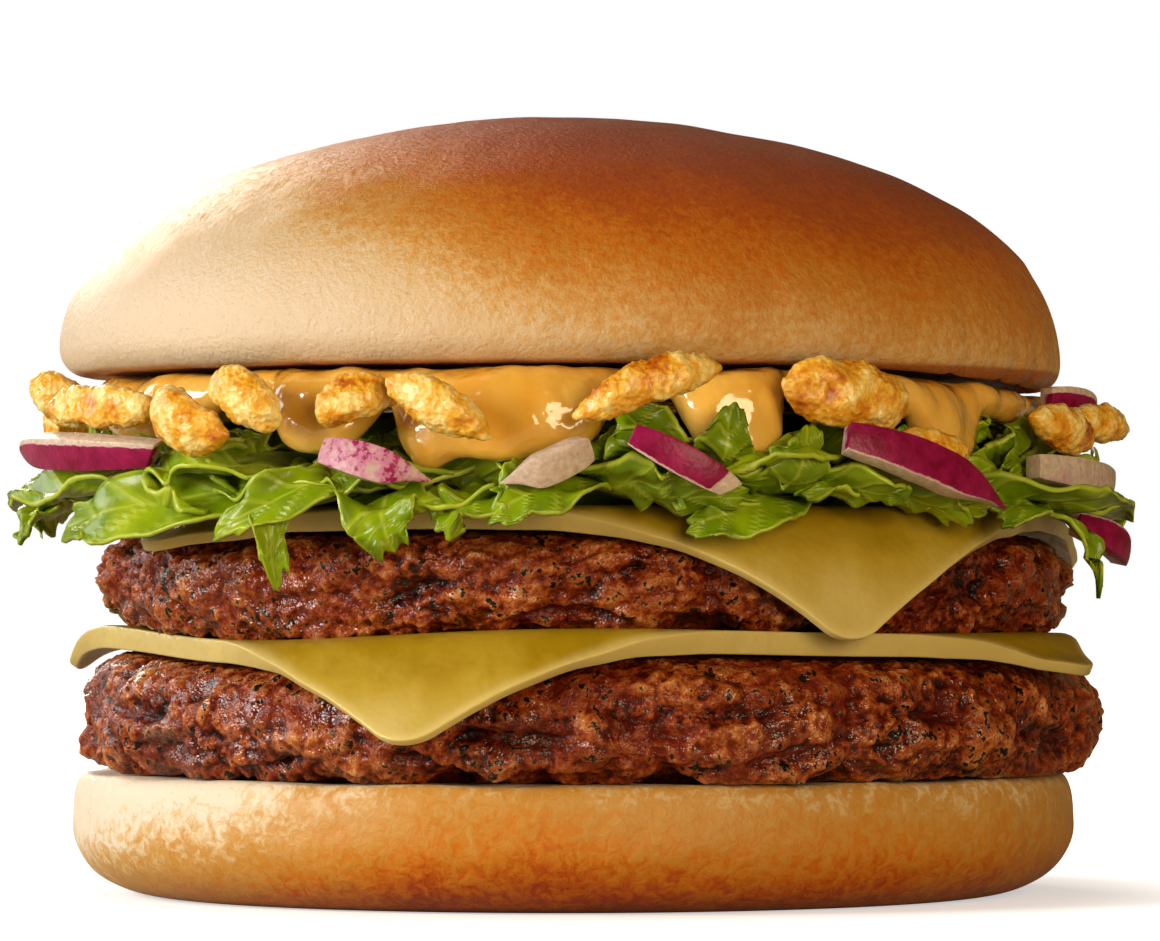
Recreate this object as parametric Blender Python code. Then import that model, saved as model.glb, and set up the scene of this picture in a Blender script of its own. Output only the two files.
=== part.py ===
"""Double cheeseburger: a soft bun round two patties, two cheese slices, lettuce, onions and sauce.

Lengths are metres, +Z is up and -Y is the front. The heel's flat foot lies on Z = 0.
"""

import math
import random
from typing import NamedTuple

import bmesh
import bpy
from mathutils import Vector, noise
from mathutils.bvhtree import BVHTree

MM = 0.001
GAP = 0.3 * MM  # air between neighbouring layers

# The bun: its widest radius, and the cut faces that the filling lies between.
BUN_RADIUS = 52.3 * MM
HEEL_THICK = 12.6 * MM
HEEL_FOOT_RADIUS = 43.0 * MM
HEEL_RIM_RADIUS = 50.4 * MM
HEEL_WIDEST = 7.2 * MM
CROWN_DOME = 24.0 * MM
CROWN_LIP = 2.9 * MM
CROWN_FLOOR_RADIUS = 49.4 * MM
CROWN_SHIFT = -1.1 * MM
CROWN_SAG = 1.6 * MM  # the lip is lower on the right
CROWN_SAG_ANGLE = 88

# The patties: radius before their crags, thickness, and how far each has slid to the right.
PATTY_EDGE = 5.0 * MM
PATTY_LOWER_RADIUS = 53.2 * MM
PATTY_LOWER_THICK = 11.8 * MM
PATTY_LOWER_SHIFT = 2.2 * MM
PATTY_UPPER_RADIUS = 50.2 * MM
PATTY_UPPER_THICK = 10.1 * MM
PATTY_UPPER_SHIFT = 1.0 * MM
CRAG = 1.15 * MM  # height of the coarse crags
CRUMBLE = 0.7 * MM  # height of the finer ones

# The cheese: square slices whose corners bend over the patty's edge.
CHEESE_SIDE = 84.5 * MM
CHEESE_MELT = 0.7  # how much is left of a slice's length past the patty, as it has drawn back
CHEESE_THICK = 1.8 * MM
CHEESE_BEND = 5.0 * MM
CHEESE_CLEAR = 2.1 * MM  # how far a hanging corner stands off the patty

# The filling under the crown.
LETTUCE_RADIUS = 47.0 * MM
LETTUCE_RIM_THICK = 5.0 * MM
SAUCE_RADIUS = 47.0 * MM
SAUCE_THICK = 3.0 * MM
FILLING_THICK = 14.0 * MM  # from the upper cheese to the crown

# Heights of the layers, from the bottom up.
PATTY_LOWER_Z = HEEL_THICK + GAP
CHEESE_LOWER_Z = PATTY_LOWER_Z + PATTY_LOWER_THICK + GAP
PATTY_UPPER_Z = CHEESE_LOWER_Z + CHEESE_THICK + GAP
CHEESE_UPPER_Z = PATTY_UPPER_Z + PATTY_UPPER_THICK + GAP
LETTUCE_Z = CHEESE_UPPER_Z + CHEESE_THICK + GAP
CROWN_Z = LETTUCE_Z + FILLING_THICK
SAUCE_TOP_Z = CROWN_Z - GAP
LETTUCE_MOUND_Z = SAUCE_TOP_Z - SAUCE_THICK - GAP


class Piece(NamedTuple):
    """A strip that follows three stops, each (degrees to the right of the front, radius, height)."""

    way: tuple  # the stops, in degrees and millimetres
    width: float  # millimetres
    thick: float  # millimetres
    roll: tuple = (90, 90)  # degrees at each end: 0 lies flat, 90 stands on edge
    ruffle: float = 0.0  # millimetres that a leaf's edges wave
    seed: int = 0


class Drip(NamedTuple):
    """A tongue of sauce that runs over the rim."""

    angle: float  # degrees to the right of the front
    spread: float  # degrees to each side
    reach: float  # millimetres beyond the sauce's own radius
    drop: float  # millimetres below the sauce's underside


FRIED_ONIONS = (
    Piece(((-76, 50.5, 48.9), (-78, 53.5, 51.0), (-80, 56.5, 53.0)), 5.0, 3.0, seed=1),
    Piece(((-47, 55.0, 49.2), (-56, 57.0, 49.9), (-68, 57.0, 49.8)), 4.0, 2.8, seed=2),
    Piece(((-45.5, 55.6, 51.0), (-41.5, 57.6, 48.0), (-35, 57.6, 46.4)), 6.2, 4.6, seed=3),
    Piece(((-38.5, 56.5, 51.2), (-33, 58.0, 50.4), (-29.5, 58.0, 46.6)), 5.0, 3.6, seed=4),
    Piece(((-25, 56.0, 47.4), (-22.5, 56.2, 50.2), (-17.5, 53.0, 50.4)), 5.4, 3.8, seed=5),
    Piece(((-18.5, 57.0, 52.0), (-12.5, 58.5, 49.2), (-7.5, 58.0, 46.0)), 4.4, 3.2, seed=6),
    Piece(((0, 57.5, 47.8), (7, 58.6, 51.4), (15, 57.2, 53.0)), 4.4, 3.4, seed=7),
    Piece(((21.5, 54.8, 51.2), (28.5, 55.8, 50.6), (37, 55.2, 48.8)), 7.4, 4.6, seed=8),
    Piece(((33, 53.8, 45.3), (39.5, 54.6, 44.9), (46, 54.8, 45.0)), 4.6, 3.6, seed=9),
    Piece(((57, 54.2, 49.0), (64, 55.7, 47.6), (71, 55.5, 46.9)), 4.6, 3.2, seed=10),
    Piece(((70, 54.0, 49.0), (76, 56.0, 48.4), (81, 57.8, 48.0)), 3.6, 2.8, seed=11),
)
FRIED_ONIONS_BEHIND = 6

RED_ONIONS = (
    Piece(((-76, 57.5, 46.0), (-61, 58.5, 45.4), (-47, 56.0, 45.0)), 3.3, 2.4, (72, 72)),
    Piece(((-24.5, 56.5, 44.8), (-19.5, 57.5, 43.8), (-14.5, 56.0, 42.0)), 3.4, 2.4, (110, 100)),
    Piece(((1.5, 56.0, 45.2), (-2, 57.5, 43.4), (-6, 57.5, 41.8)), 3.2, 2.4, (100, 80)),
    Piece(((6, 57.5, 46.4), (11, 58.5, 43.8), (15, 58.0, 41.4)), 3.0, 2.4, (96, 96)),
    Piece(((27, 58.5, 46.2), (36, 59.5, 43.6), (46, 58.5, 39.6)), 3.8, 2.6, (104, 104)),
    Piece(((57, 55.0, 43.8), (67, 56.5, 43.0), (78, 56.0, 42.2)), 3.2, 2.4, (96, 84)),
    Piece(((72, 51.0, 51.2), (77, 53.0, 51.0), (81, 54.0, 50.4)), 2.4, 2.0, (90, 90)),
    Piece(((68, 55.0, 38.2), (73, 57.5, 36.6), (78, 57.5, 34.8)), 3.0, 2.2, (96, 96)),
)
RED_ONIONS_BEHIND = 5

DRIPS = (
    Drip(-60, 13, 4.0, 4.0),
    Drip(-28.5, 6.5, 6.5, 5.6),
    Drip(-15.5, 4.5, 5.0, 7.0),
    Drip(-6, 10, 7.5, 6.4),
    Drip(18.5, 5.5, 6.5, 7.2),
    Drip(42, 10, 5.0, 0.8),
    Drip(48.5, 6.5, 4.0, 6.4),
    Drip(62, 8, 3.0, 0.6),
    Drip(104, 10, 3.5, 3.0),
    Drip(147, 9, 5.5, 5.0),
    Drip(186, 12, 5.5, 3.6),
    Drip(228, 8, 4.5, 5.6),
    Drip(258, 9, 2.5, 2.4),
)

LEAVES = (
    Piece(((-24, 44, 43.2), (-44, 57.5, 41.2), (-61, 58.8, 37.8)), 8.5, 0.9, (35, 55), 0.4),
    Piece(((-42, 44, 42.6), (-60, 56.5, 42.0), (-78, 58.0, 40.6)), 5.5, 0.8, (10, 30), 1.2),
    Piece(((-22, 44, 42.6), (-27, 56.0, 43.0), (-37, 58.5, 37.6)), 5.5, 0.8, (20, 60), 0.5),
    Piece(((-36, 44, 41.0), (-31, 56.5, 40.2), (-30, 56.8, 31.0)), 4.2, 0.8, (0, 25), 0.5),
    Piece(((-20, 44, 41.2), (-19, 56.0, 40.4), (-17, 56.6, 35.4)), 8.0, 0.8, (0, -20), 1.0),
    Piece(((-4, 44, 41.4), (-9, 55.6, 41.4), (-13, 57.0, 37.6)), 7.0, 0.8, (0, 15), 0.8),
    Piece(((9, 44, 41.5), (8, 55.2, 44.2), (6, 55.8, 48.6)), 6.5, 0.8, (0, 20), 0.8),
    Piece(((16, 44, 41.5), (15.5, 55.2, 44.2), (16.5, 56.0, 49.8)), 5.0, 0.8, (0, 10), 0.7),
    Piece(((0, 44, 42.2), (9, 54.6, 41.0), (19, 55.4, 40.6)), 4.4, 0.8, (10, 80), 0.3),
    Piece(((23, 44, 41.5), (24, 55.2, 43.2), (27, 56.4, 46.6)), 7.0, 0.8, (0, 10), 0.7),
    Piece(((22, 44, 41.6), (29, 55.2, 41.6), (36, 56.4, 40.0)), 5.0, 0.8, (25, 45), 0.5),
    Piece(((35, 44, 42.2), (41, 54.4, 41.0), (49, 55.0, 40.4)), 4.4, 0.8, (10, 75), 0.3),
    Piece(((46, 44, 41.4), (55, 56.0, 41.0), (68, 59.6, 39.8)), 7.5, 0.9, (10, 20), 0.7),
    Piece(((68, 44, 41.2), (77, 54.5, 40.4), (86, 56.0, 40.0)), 6.0, 0.9, (0, 10), 0.6),
    Piece(((58, 44, 40.8), (62, 56.0, 38.8), (64, 59.0, 30.6)), 4.0, 0.8, (0, -20), 0.5),
)
LEAVES_BEHIND = 10
SHREDS = 7  # short strips that lie all round under the toppings


def smoothstep(low, high, value):
    """Rises smoothly from 0 at low to 1 at high."""
    share = min(1.0, max(0.0, (value - low) / (high - low)))
    return share * share * (3 - 2 * share)


def hump(offset, half_width):
    """1 at no offset, falling smoothly to 0 at half_width."""
    return 1 - smoothstep(0, half_width, abs(offset))


def turn_between(angle, centre):
    """The signed difference of two angles in degrees, from -180 to 180."""
    return (angle - centre + 180) % 360 - 180


def place(angle, radius, height):
    """The point at an angle in degrees to the right of the front, seen from above the burger's axis."""
    turn = math.radians(angle)
    return Vector((radius * math.sin(turn), -radius * math.cos(turn), height))


def polar(point):
    """The angle in degrees to the right of the front, and the radius."""
    return math.degrees(math.atan2(point.x, -point.y)), math.hypot(point.x, point.y)


def layer_wave(point):
    """How far the soft layers between the bun halves lie above or below level at a point."""
    angle, radius = polar(point)
    within = smoothstep(HEEL_THICK, PATTY_LOWER_Z + PATTY_LOWER_THICK, point.z)
    within *= 1 - smoothstep(PATTY_UPPER_Z, CHEESE_UPPER_Z, point.z)
    turn = math.radians(angle)
    wave = math.sin(3 * turn + 0.7) + 0.6 * math.sin(5 * turn + 2.0)
    return 0.45 * MM * wave * within * smoothstep(20 * MM, 50 * MM, radius)


def material(name, colour, roughness):
    """A plain Principled material, which isn't metallic."""
    made = bpy.data.materials.new(name)
    made.use_nodes = True
    shader = made.node_tree.nodes["Principled BSDF"]
    shader.inputs["Base Color"].default_value = (*colour, 1)
    shader.inputs["Roughness"].default_value = roughness
    shader.inputs["Metallic"].default_value = 0
    return made


def finish(bm, name, skin, smooth=True):
    """Turns the bmesh into a named object with its material."""
    mesh = bpy.data.meshes.new(name)
    bmesh.ops.recalc_face_normals(bm, faces=bm.faces)
    if bm.calc_volume(signed=True) < 0:
        bmesh.ops.reverse_faces(bm, faces=bm.faces)
    bm.to_mesh(mesh)
    bm.free()
    mesh.materials.append(skin)
    if smooth:
        mesh.shade_smooth()
        mesh.set_sharp_from_angle(angle=math.radians(50))
    made = bpy.data.objects.new(name, mesh)
    bpy.context.scene.collection.objects.link(made)
    return made


def arc(centre, size, start, end, count, power=2.0):
    """Points on a superellipse in the (radius, height) plane, from one angle in degrees to another."""
    points = []
    for step in range(count):
        turn = math.radians(start + (end - start) * step / (count - 1))
        across, up = math.cos(turn), math.sin(turn)
        points.append(
            (
                centre[0] + size[0] * math.copysign(abs(across) ** (2 / power), across),
                centre[1] + size[1] * math.copysign(abs(up) ** (2 / power), up),
            )
        )
    return points


def turned(profile, steps):
    """A bmesh of the profile of (radius, height) points, spun round the Z axis."""
    bm = bmesh.new()
    verts = [bm.verts.new((radius, 0, height)) for radius, height in profile]
    edges = [bm.edges.new(ends) for ends in zip(verts, verts[1:])]
    bmesh.ops.spin(
        bm,
        geom=verts + edges,
        cent=(0, 0, 0),
        axis=(0, 0, 1),
        angle=math.tau,
        steps=steps,
        use_merge=True,
    )
    bmesh.ops.remove_doubles(bm, verts=bm.verts, dist=0.001 * MM)
    bmesh.ops.recalc_face_normals(bm, faces=bm.faces)
    return bm


def make_heel(skin):
    """The lower half of the bun, with a flat foot and a flat cut face."""
    below = HEEL_WIDEST
    above = HEEL_THICK - HEEL_WIDEST
    profile = [(0, 0), (HEEL_FOOT_RADIUS * 0.5, 0)]
    profile += arc((HEEL_FOOT_RADIUS, below), (BUN_RADIUS - HEEL_FOOT_RADIUS, below), -90, 0, 5)
    edge = BUN_RADIUS - HEEL_RIM_RADIUS
    profile += arc((HEEL_RIM_RADIUS, HEEL_WIDEST), (edge, above), 15, 90, 4, 2.6)
    profile += [(HEEL_RIM_RADIUS * 0.55, HEEL_THICK), (0, HEEL_THICK)]
    bm = turned(profile, 44)
    for vert in bm.verts:
        angle, radius = polar(vert.co)
        turn = math.radians(angle)
        swell = 1 + 0.006 * math.cos(2 * turn + 0.6) + 0.004 * math.cos(3 * turn + 2)
        vert.co.x *= swell
        vert.co.y *= swell
    return finish(bm, "bun_heel", skin)


def lip_sag(angle):
    """How much lower the crown's lip hangs in a direction."""
    return CROWN_SAG * hump(turn_between(angle, CROWN_SAG_ANGLE), 65)


def make_crown(skin):
    """The domed upper half of the bun: half an ellipsoid over a lip that rounds in to the cut face."""
    widest = CROWN_Z + CROWN_LIP
    lip = BUN_RADIUS - CROWN_FLOOR_RADIUS
    profile = [(0, CROWN_Z), (CROWN_FLOOR_RADIUS - 1.2 * MM, CROWN_Z)]
    profile += arc((CROWN_FLOOR_RADIUS, widest), (lip, CROWN_LIP), -90, -20, 3)
    profile += arc((0, widest), (BUN_RADIUS, CROWN_DOME), 0, 90, 9)
    profile[-1] = (0, widest + CROWN_DOME)
    bm = turned(profile, 44)
    for vert in bm.verts:
        angle, radius = polar(vert.co)
        turn = math.radians(angle)
        rise = smoothstep(CROWN_Z, widest, vert.co.z)
        swell = 1 + rise * (0.004 * math.cos(2 * turn + 1.2) + 0.003 * math.cos(3 * turn))
        edge = smoothstep(CROWN_FLOOR_RADIUS - 1.1 * MM, CROWN_FLOOR_RADIUS, radius)
        low = 1 - smoothstep(widest, widest + 0.5 * CROWN_DOME, vert.co.z)
        vert.co.x = vert.co.x * swell + CROWN_SHIFT
        vert.co.y *= swell
        vert.co.z -= lip_sag(angle) * edge * low
    return finish(bm, "bun_crown", skin)


def make_patty(name, skin, radius, thick, low, shift, widest_share, seed):
    """A seared disc of minced beef. Its side carries the crags, and its faces stay flat for the layers."""
    widest = low + thick * widest_share
    inner = radius - PATTY_EDGE
    profile = [(0, low), (inner * 0.6, low)]
    profile += arc((inner, widest), (PATTY_EDGE, widest - low), -90, 0, 5, 2.3)[:-1]
    profile += arc((inner, widest), (PATTY_EDGE, low + thick - widest), 0, 90, 5, 1.9)
    profile += [(inner * 0.6, low + thick), (0, low + thick)]
    bm = turned(profile, 60)
    bm.normal_update()
    offset = Vector((seed * 3.1, seed * 1.7, seed * 2.3))
    moves = []
    for vert in bm.verts:
        angle, distance = polar(vert.co)
        side = smoothstep(inner - 3 * MM, inner + 1.5 * MM, distance)
        coarse = noise.noise(vert.co / (8 * MM) + offset)
        fine = noise.noise(vert.co / (3.6 * MM) - offset)
        turn = math.radians(angle)
        lobe = 0.9 * MM * math.cos(2 * turn + seed) + 0.6 * MM * math.cos(5 * turn + 2 * seed)
        pressed = smoothstep(widest, low + thick, vert.co.z)  # under the cheese
        most = CHEESE_CLEAR - (0.8 + 1.5 * pressed) * MM
        height = min(most, side * (CRAG * coarse + CRUMBLE * fine))
        outward = Vector((vert.co.x, vert.co.y, 0)).normalized()
        outgoing = min(most, height + 0.6 * side * lobe)
        moves.append(vert.normal * height + outward * (outgoing - height))
    for vert, move in zip(bm.verts, moves):
        vert.co += move
        vert.co.z = min(low + thick, max(low, vert.co.z))
        vert.co.x += shift
        vert.co.z += layer_wave(vert.co)
    return finish(bm, name, skin)


class Slice(NamedTuple):
    """Where a cheese slice lies. Its corners are 90 degrees apart, from the heading on."""

    patty: Vector  # the middle of the patty's upper face, a gap above it
    edge: float  # the patty's radius
    heading: float  # degrees to the right of the front
    slid: Vector  # how far it lies from the patty's middle
    hang: tuple  # degrees that each corner bends down


def cheese_point(lie, across, along, lift):
    """Where a point of the flat slice ends up. Past the patty's edge the slice bends down."""
    angle, distance = polar(Vector((across, along, 0)) + lie.slid)
    hang = 0.0
    for corner, bend in enumerate(lie.hang):
        tip = place(lie.heading + 90 * corner, CHEESE_SIDE / math.sqrt(2), 0) + lie.slid
        hang += bend * hump(turn_between(angle, polar(tip)[0]), 46)
    start = lie.edge + CHEESE_CLEAR - CHEESE_BEND
    past = CHEESE_MELT * max(0.0, distance - start)
    bent = min(past / CHEESE_BEND, math.radians(hang))
    straight = max(0.0, past - CHEESE_BEND * bent)
    radius = min(distance, start) + CHEESE_BEND * math.sin(bent) + straight * math.cos(bent)
    drop = CHEESE_BEND * (1 - math.cos(bent)) + straight * math.sin(bent)
    radius += lift * math.sin(bent)
    point = place(angle, radius, lift * math.cos(bent) - drop) + lie.patty
    point.z += layer_wave(Vector((point.x, point.y, lie.patty.z)))
    return point


def spread_out(share):
    """Grid lines that stand closer towards the slice's edges, where it bends."""
    return CHEESE_SIDE / 2 * (1.35 * share - 0.35 * share**3)


def make_cheese(name, skin, lie):
    """One slice: a grid that is finest near its edges, thickened and laid over its patty."""
    bm = bmesh.new()
    cells = 12
    bmesh.ops.create_grid(bm, x_segments=cells, y_segments=cells, size=1)
    lower = list(bm.verts)
    made = bmesh.ops.extrude_face_region(bm, geom=list(bm.faces))
    upper = [item for item in made["geom"] if isinstance(item, bmesh.types.BMVert)]
    turn = math.radians(lie.heading - 45)
    for verts, lift in ((lower, 0.0), (upper, CHEESE_THICK)):
        for vert in verts:
            flat_x = spread_out(vert.co.x)
            flat_y = spread_out(vert.co.y)
            across = flat_x * math.cos(turn) - flat_y * math.sin(turn)
            along = flat_x * math.sin(turn) + flat_y * math.cos(turn)
            vert.co = cheese_point(lie, across, along, lift)
    return finish(bm, name, skin)


def stops(way, share):
    """The point at a share of a way, on one smooth curve through its three stops."""
    first, middle, last = way
    weights = (
        (2 * share - 1) * (share - 1),
        4 * share * (1 - share),
        share * (2 * share - 1),
    )
    angle, radius, height = (
        sum(weight * stop[axis] for weight, stop in zip(weights, (first, middle, last)))
        for axis in range(3)
    )
    return place(angle, radius * MM, height * MM)


def frames(piece, count):
    """Centre, side and up of each section along a piece, turned by its roll and never twisted otherwise."""
    centres = [stops(piece.way, step / count) for step in range(count + 1)]
    found = []
    up = Vector((0, 0, 1))
    ahead = None
    for step, centre in enumerate(centres):
        tangent = centres[min(step + 1, count)] - centres[max(step - 1, 0)]
        tangent.normalize()
        if ahead is not None:
            up = ahead.rotation_difference(tangent) @ up
        up = (up - tangent * up.dot(tangent)).normalized()
        ahead = tangent
        side = tangent.cross(up)
        roll = math.radians(piece.roll[0] + (piece.roll[1] - piece.roll[0]) * step / count)
        found.append(
            (
                centre,
                side * math.cos(roll) + up * math.sin(roll),
                up * math.cos(roll) - side * math.sin(roll),
                tangent,
            )
        )
    return found


def strip(piece, cells_long, cells_wide, taper, spare=0.0):
    """A bmesh of a thin strip along its way, the same triangles on both faces. taper narrows its ends."""
    bm = bmesh.new()
    bmesh.ops.create_grid(bm, x_segments=cells_long, y_segments=cells_wide, size=1)
    bmesh.ops.triangulate(bm, faces=bm.faces)
    lower = list(bm.verts)
    made = bmesh.ops.extrude_face_region(bm, geom=list(bm.faces))
    upper = [item for item in made["geom"] if isinstance(item, bmesh.types.BMVert)]
    sections = frames(piece, cells_long)
    thick = piece.thick * MM + spare
    for verts, lift in ((lower, -thick / 2), (upper, thick / 2)):
        for vert in verts:
            share = (vert.co.x + 1) / 2
            centre, wide, face, _ = sections[round(share * cells_long)]
            edge = vert.co.y
            narrow = taper(share)
            wave = math.sin(9 * share + 2 * piece.seed + edge) * edge * edge
            cup = 0.12 * piece.width * (edge * edge - 0.4) * narrow
            vert.co = (
                centre
                + wide * edge * (piece.width * MM / 2 * narrow + spare)
                + face * (lift + (piece.ruffle * wave + cup) * MM)
            )
    return bm


def leaf_taper(share):
    """A torn leaf: full width for most of its length, and narrower at its free end."""
    return 0.75 + 0.25 * smoothstep(0, 0.3, share) - 0.5 * smoothstep(0.55, 1, share)


def petal_taper(share):
    """A sliver of onion: pointed at both ends."""
    return 0.22 + 0.78 * math.sin(math.pi * (0.08 + 0.84 * share)) ** 0.6


def make_petal(name, skin, piece):
    """A crescent of red onion."""
    return finish(strip(piece, 7, 2, petal_taper), name, skin)


def make_crisp(name, skin, piece):
    """A shard of fried onion in batter: a ball drawn out along its way, with lumps and blunt ends."""
    bm = bmesh.new()
    rings = 8
    bmesh.ops.create_uvsphere(bm, u_segments=7, v_segments=rings, radius=1)
    sections = frames(piece, rings)
    for vert in bm.verts:
        share = 1 - math.acos(max(-1.0, min(1.0, vert.co.z))) / math.pi
        ring = math.hypot(vert.co.x, vert.co.y)
        blunt = ring**-0.45 if ring > 0.01 else 0
        centre, wide, face, tangent = sections[round(share * rings)]
        lump = 1 + 0.24 * noise.noise(vert.co * 1.9 + Vector((piece.seed * 2.7, 0, 0)))
        vert.co = (
            centre
            + wide * vert.co.x * blunt * lump * piece.width * MM / 2
            + face * vert.co.y * blunt * lump * piece.thick * MM / 2
        )
    return finish(bm, name, skin)


def pieces_behind(count, low, high, width, thick, roll, seed):
    """Toppings on the sides and back, spaced evenly and each a little different."""
    draw = random.Random(seed)
    found = []
    first, last = 97, 268
    for number in range(count):
        middle = first + (last - first) * (number + 0.5) / count + draw.uniform(-3, 3)
        half = draw.uniform(6.5, 9) * draw.choice((-1, 1))
        radius = draw.uniform(54.5, 56)
        height = draw.uniform(low, high)
        way = (
            (middle - half, radius - 1.5, height - draw.uniform(0, 0.8)),
            (middle, radius + 1, height),
            (middle + half, radius - 0.5, height - draw.uniform(0.5, 1.4)),
        )
        tilt = roll + draw.uniform(-10, 10)
        found.append(Piece(way, width, thick, (tilt, tilt), seed=seed + number))
    return found


def sauce_rim(angle):
    """How far the sauce reaches and how far it drops, in a direction."""
    reach, drop = 0.0, 0.0
    for drip in DRIPS:
        share = hump(turn_between(angle, drip.angle), drip.spread)
        reach = max(reach, drip.reach * MM * share**0.7)
        drop = max(drop, drip.drop * MM * share)
    return reach, drop


def make_sauce(skin):
    """A pool under the crown whose tongues run over the rim."""
    under = SAUCE_TOP_Z - SAUCE_THICK
    profile = [
        (0, under),
        (0.55, under),
        (0.84, under),
        (0.95, under),
        (1.0, under + 0.35 * SAUCE_THICK),
        (1.0, under + 0.8 * SAUCE_THICK),
        (0.93, SAUCE_TOP_Z),
        (0.55, SAUCE_TOP_Z),
        (0, SAUCE_TOP_Z),
    ]
    bm = turned([(share * SAUCE_RADIUS, height) for share, height in profile], 68)
    for vert in bm.verts:
        angle, distance = polar(vert.co)
        angle -= math.degrees(0.5 * math.sin(math.radians(angle)))  # finest at the front
        share = distance / SAUCE_RADIUS
        reach, drop = sauce_rim(angle)
        hangs = smoothstep(0.8, 0.95, share)
        low = 1 - smoothstep(under, SAUCE_TOP_Z - 0.1 * SAUCE_THICK, vert.co.z)
        tucked = 1 - 0.25 * low * (1 - low)
        top = vert.co.z > SAUCE_TOP_Z - 0.1 * MM
        radius = distance + reach * hangs * tucked * (0.45 if top and share > 0.9 else 1)
        if not top and share < 0.9:
            radius = distance + reach * smoothstep(0.6, 0.84, share) * 0.55
        height = vert.co.z - drop * hangs * (0.35 + 0.65 * low) * (not top)
        height -= 1.2 * lip_sag(angle) * smoothstep(45 * MM, 48 * MM, radius)
        vert.co = place(angle, radius, height)
    return finish(bm, "sauce", skin)


def lettuce_core():
    """The pressed middle of the lettuce: a wavy disc, mounded under the sauce."""
    top = LETTUCE_Z + LETTUCE_RIM_THICK
    profile = [
        (0, LETTUCE_Z),
        (0.62, LETTUCE_Z),
        (0.97, LETTUCE_Z),
        (1.0, LETTUCE_Z + 0.5 * LETTUCE_RIM_THICK),
        (0.94, top),
        (0.7, 0.5 * (top + LETTUCE_MOUND_Z)),
        (0.4, LETTUCE_MOUND_Z),
        (0, LETTUCE_MOUND_Z),
    ]
    bm = turned([(share * LETTUCE_RADIUS, height) for share, height in profile], 30)
    for vert in bm.verts:
        angle, distance = polar(vert.co)
        turn = math.radians(angle)
        wave = 1 + 0.03 * math.sin(7 * turn) + 0.02 * math.sin(11 * turn + 1)
        vert.co.x *= wave
        vert.co.y *= wave
        if vert.co.z > LETTUCE_Z + 0.1 * MM:
            vert.co.z += 0.5 * MM * math.sin(5 * turn + 2) * smoothstep(30 * MM, 40 * MM, distance)
    return bm


def leaves_behind():
    """Leaves on the sides and back, by the same rule as those at the front."""
    draw = random.Random(41)
    found = []
    first, last = 88, 276
    for number in range(LEAVES_BEHIND):
        start = first + (last - first) * (number + 0.5) / LEAVES_BEHIND
        sweep = draw.choice((-1, 1)) * draw.uniform(5, 11)
        droop = draw.uniform(0.5, 6.5)
        way = (
            (start, 44, 42.0),
            (start + sweep, 56, 42.4 - 0.2 * droop),
            (start + 1.6 * sweep, 60, 41.6 - droop),
        )
        roll = (draw.uniform(0, 15), draw.uniform(-25, 35))
        found.append(Piece(way, draw.uniform(6, 9), 0.8, roll, draw.uniform(0.6, 1.1), number))
    return found


def shreds():
    """Short strips that fill the band between the larger leaves."""
    draw = random.Random(7)
    found = []
    for number in range(SHREDS):
        start = 360 * number / SHREDS + draw.uniform(-6, 6)
        sweep = draw.choice((-1, 1)) * draw.uniform(8, 12)
        height = draw.uniform(40.6, 43.4)
        way = (
            (start, 44.5, height),
            (start + sweep, 53, height + 0.4),
            (start + 2 * sweep, 52.5, height - 1.6),
        )
        found.append(Piece(way, draw.uniform(4, 5.5), 0.8, (15, 60), 0.6, number + 50))
    return found


def moved(leaf, out, rise):
    """The leaf with all but its rooted end moved outward and upward by some millimetres."""
    root, *rest = leaf.way
    rest = [(angle, radius + out, height + rise) for angle, radius, height in rest]
    return leaf._replace(way=(root, *rest))


def nudges():
    """Small moves outward and upward in millimetres, the smallest first."""
    moves = [(out * 0.7, rise * 0.7) for out in range(-3, 4) for rise in range(-4, 5)]
    return sorted(moves, key=lambda move: math.hypot(*move))


def fitted(leaf, cells, neighbours):
    """The leaf's bmesh at the nearest place where it is clear of its neighbours, or None."""
    for out, rise in nudges():
        tried = moved(leaf, out, rise)
        probe = strip(tried, *cells, leaf_taper, spare=2 * GAP)
        crossing = BVHTree.FromBMesh(probe).overlap(neighbours)
        probe.free()
        if not crossing:
            return strip(tried, *cells, leaf_taper)
    return None


def tree_of(objects):
    """One tree of the triangles of several meshes."""
    points, polygons = [], []
    for item in objects:
        first = len(points)
        points += [vert.co.copy() for vert in item.data.vertices]
        polygons += [[first + index for index in face.vertices] for face in item.data.polygons]
    return BVHTree.FromPolygons(points, polygons)


def islands(bm):
    """The connected groups of faces."""
    left = set(bm.faces)
    while left:
        group, frontier = set(), [left.pop()]
        while frontier:
            face = frontier.pop()
            group.add(face)
            near = {other for edge in face.edges for other in edge.link_faces}
            frontier += [other for other in near & left]
            left -= near
        yield group


def keep_outer_skin(mesh):
    """Drops the skins of sealed hollows, and loose scraps, that a union leaves in a mesh."""
    bm = bmesh.new()
    bm.from_mesh(mesh)
    bmesh.ops.triangulate(bm, faces=bm.faces)
    groups = sorted(islands(bm), key=len)
    for group in groups[:-1]:
        bmesh.ops.delete(bm, geom=list(group), context="FACES")
    bm.to_mesh(mesh)
    bm.free()


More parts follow.
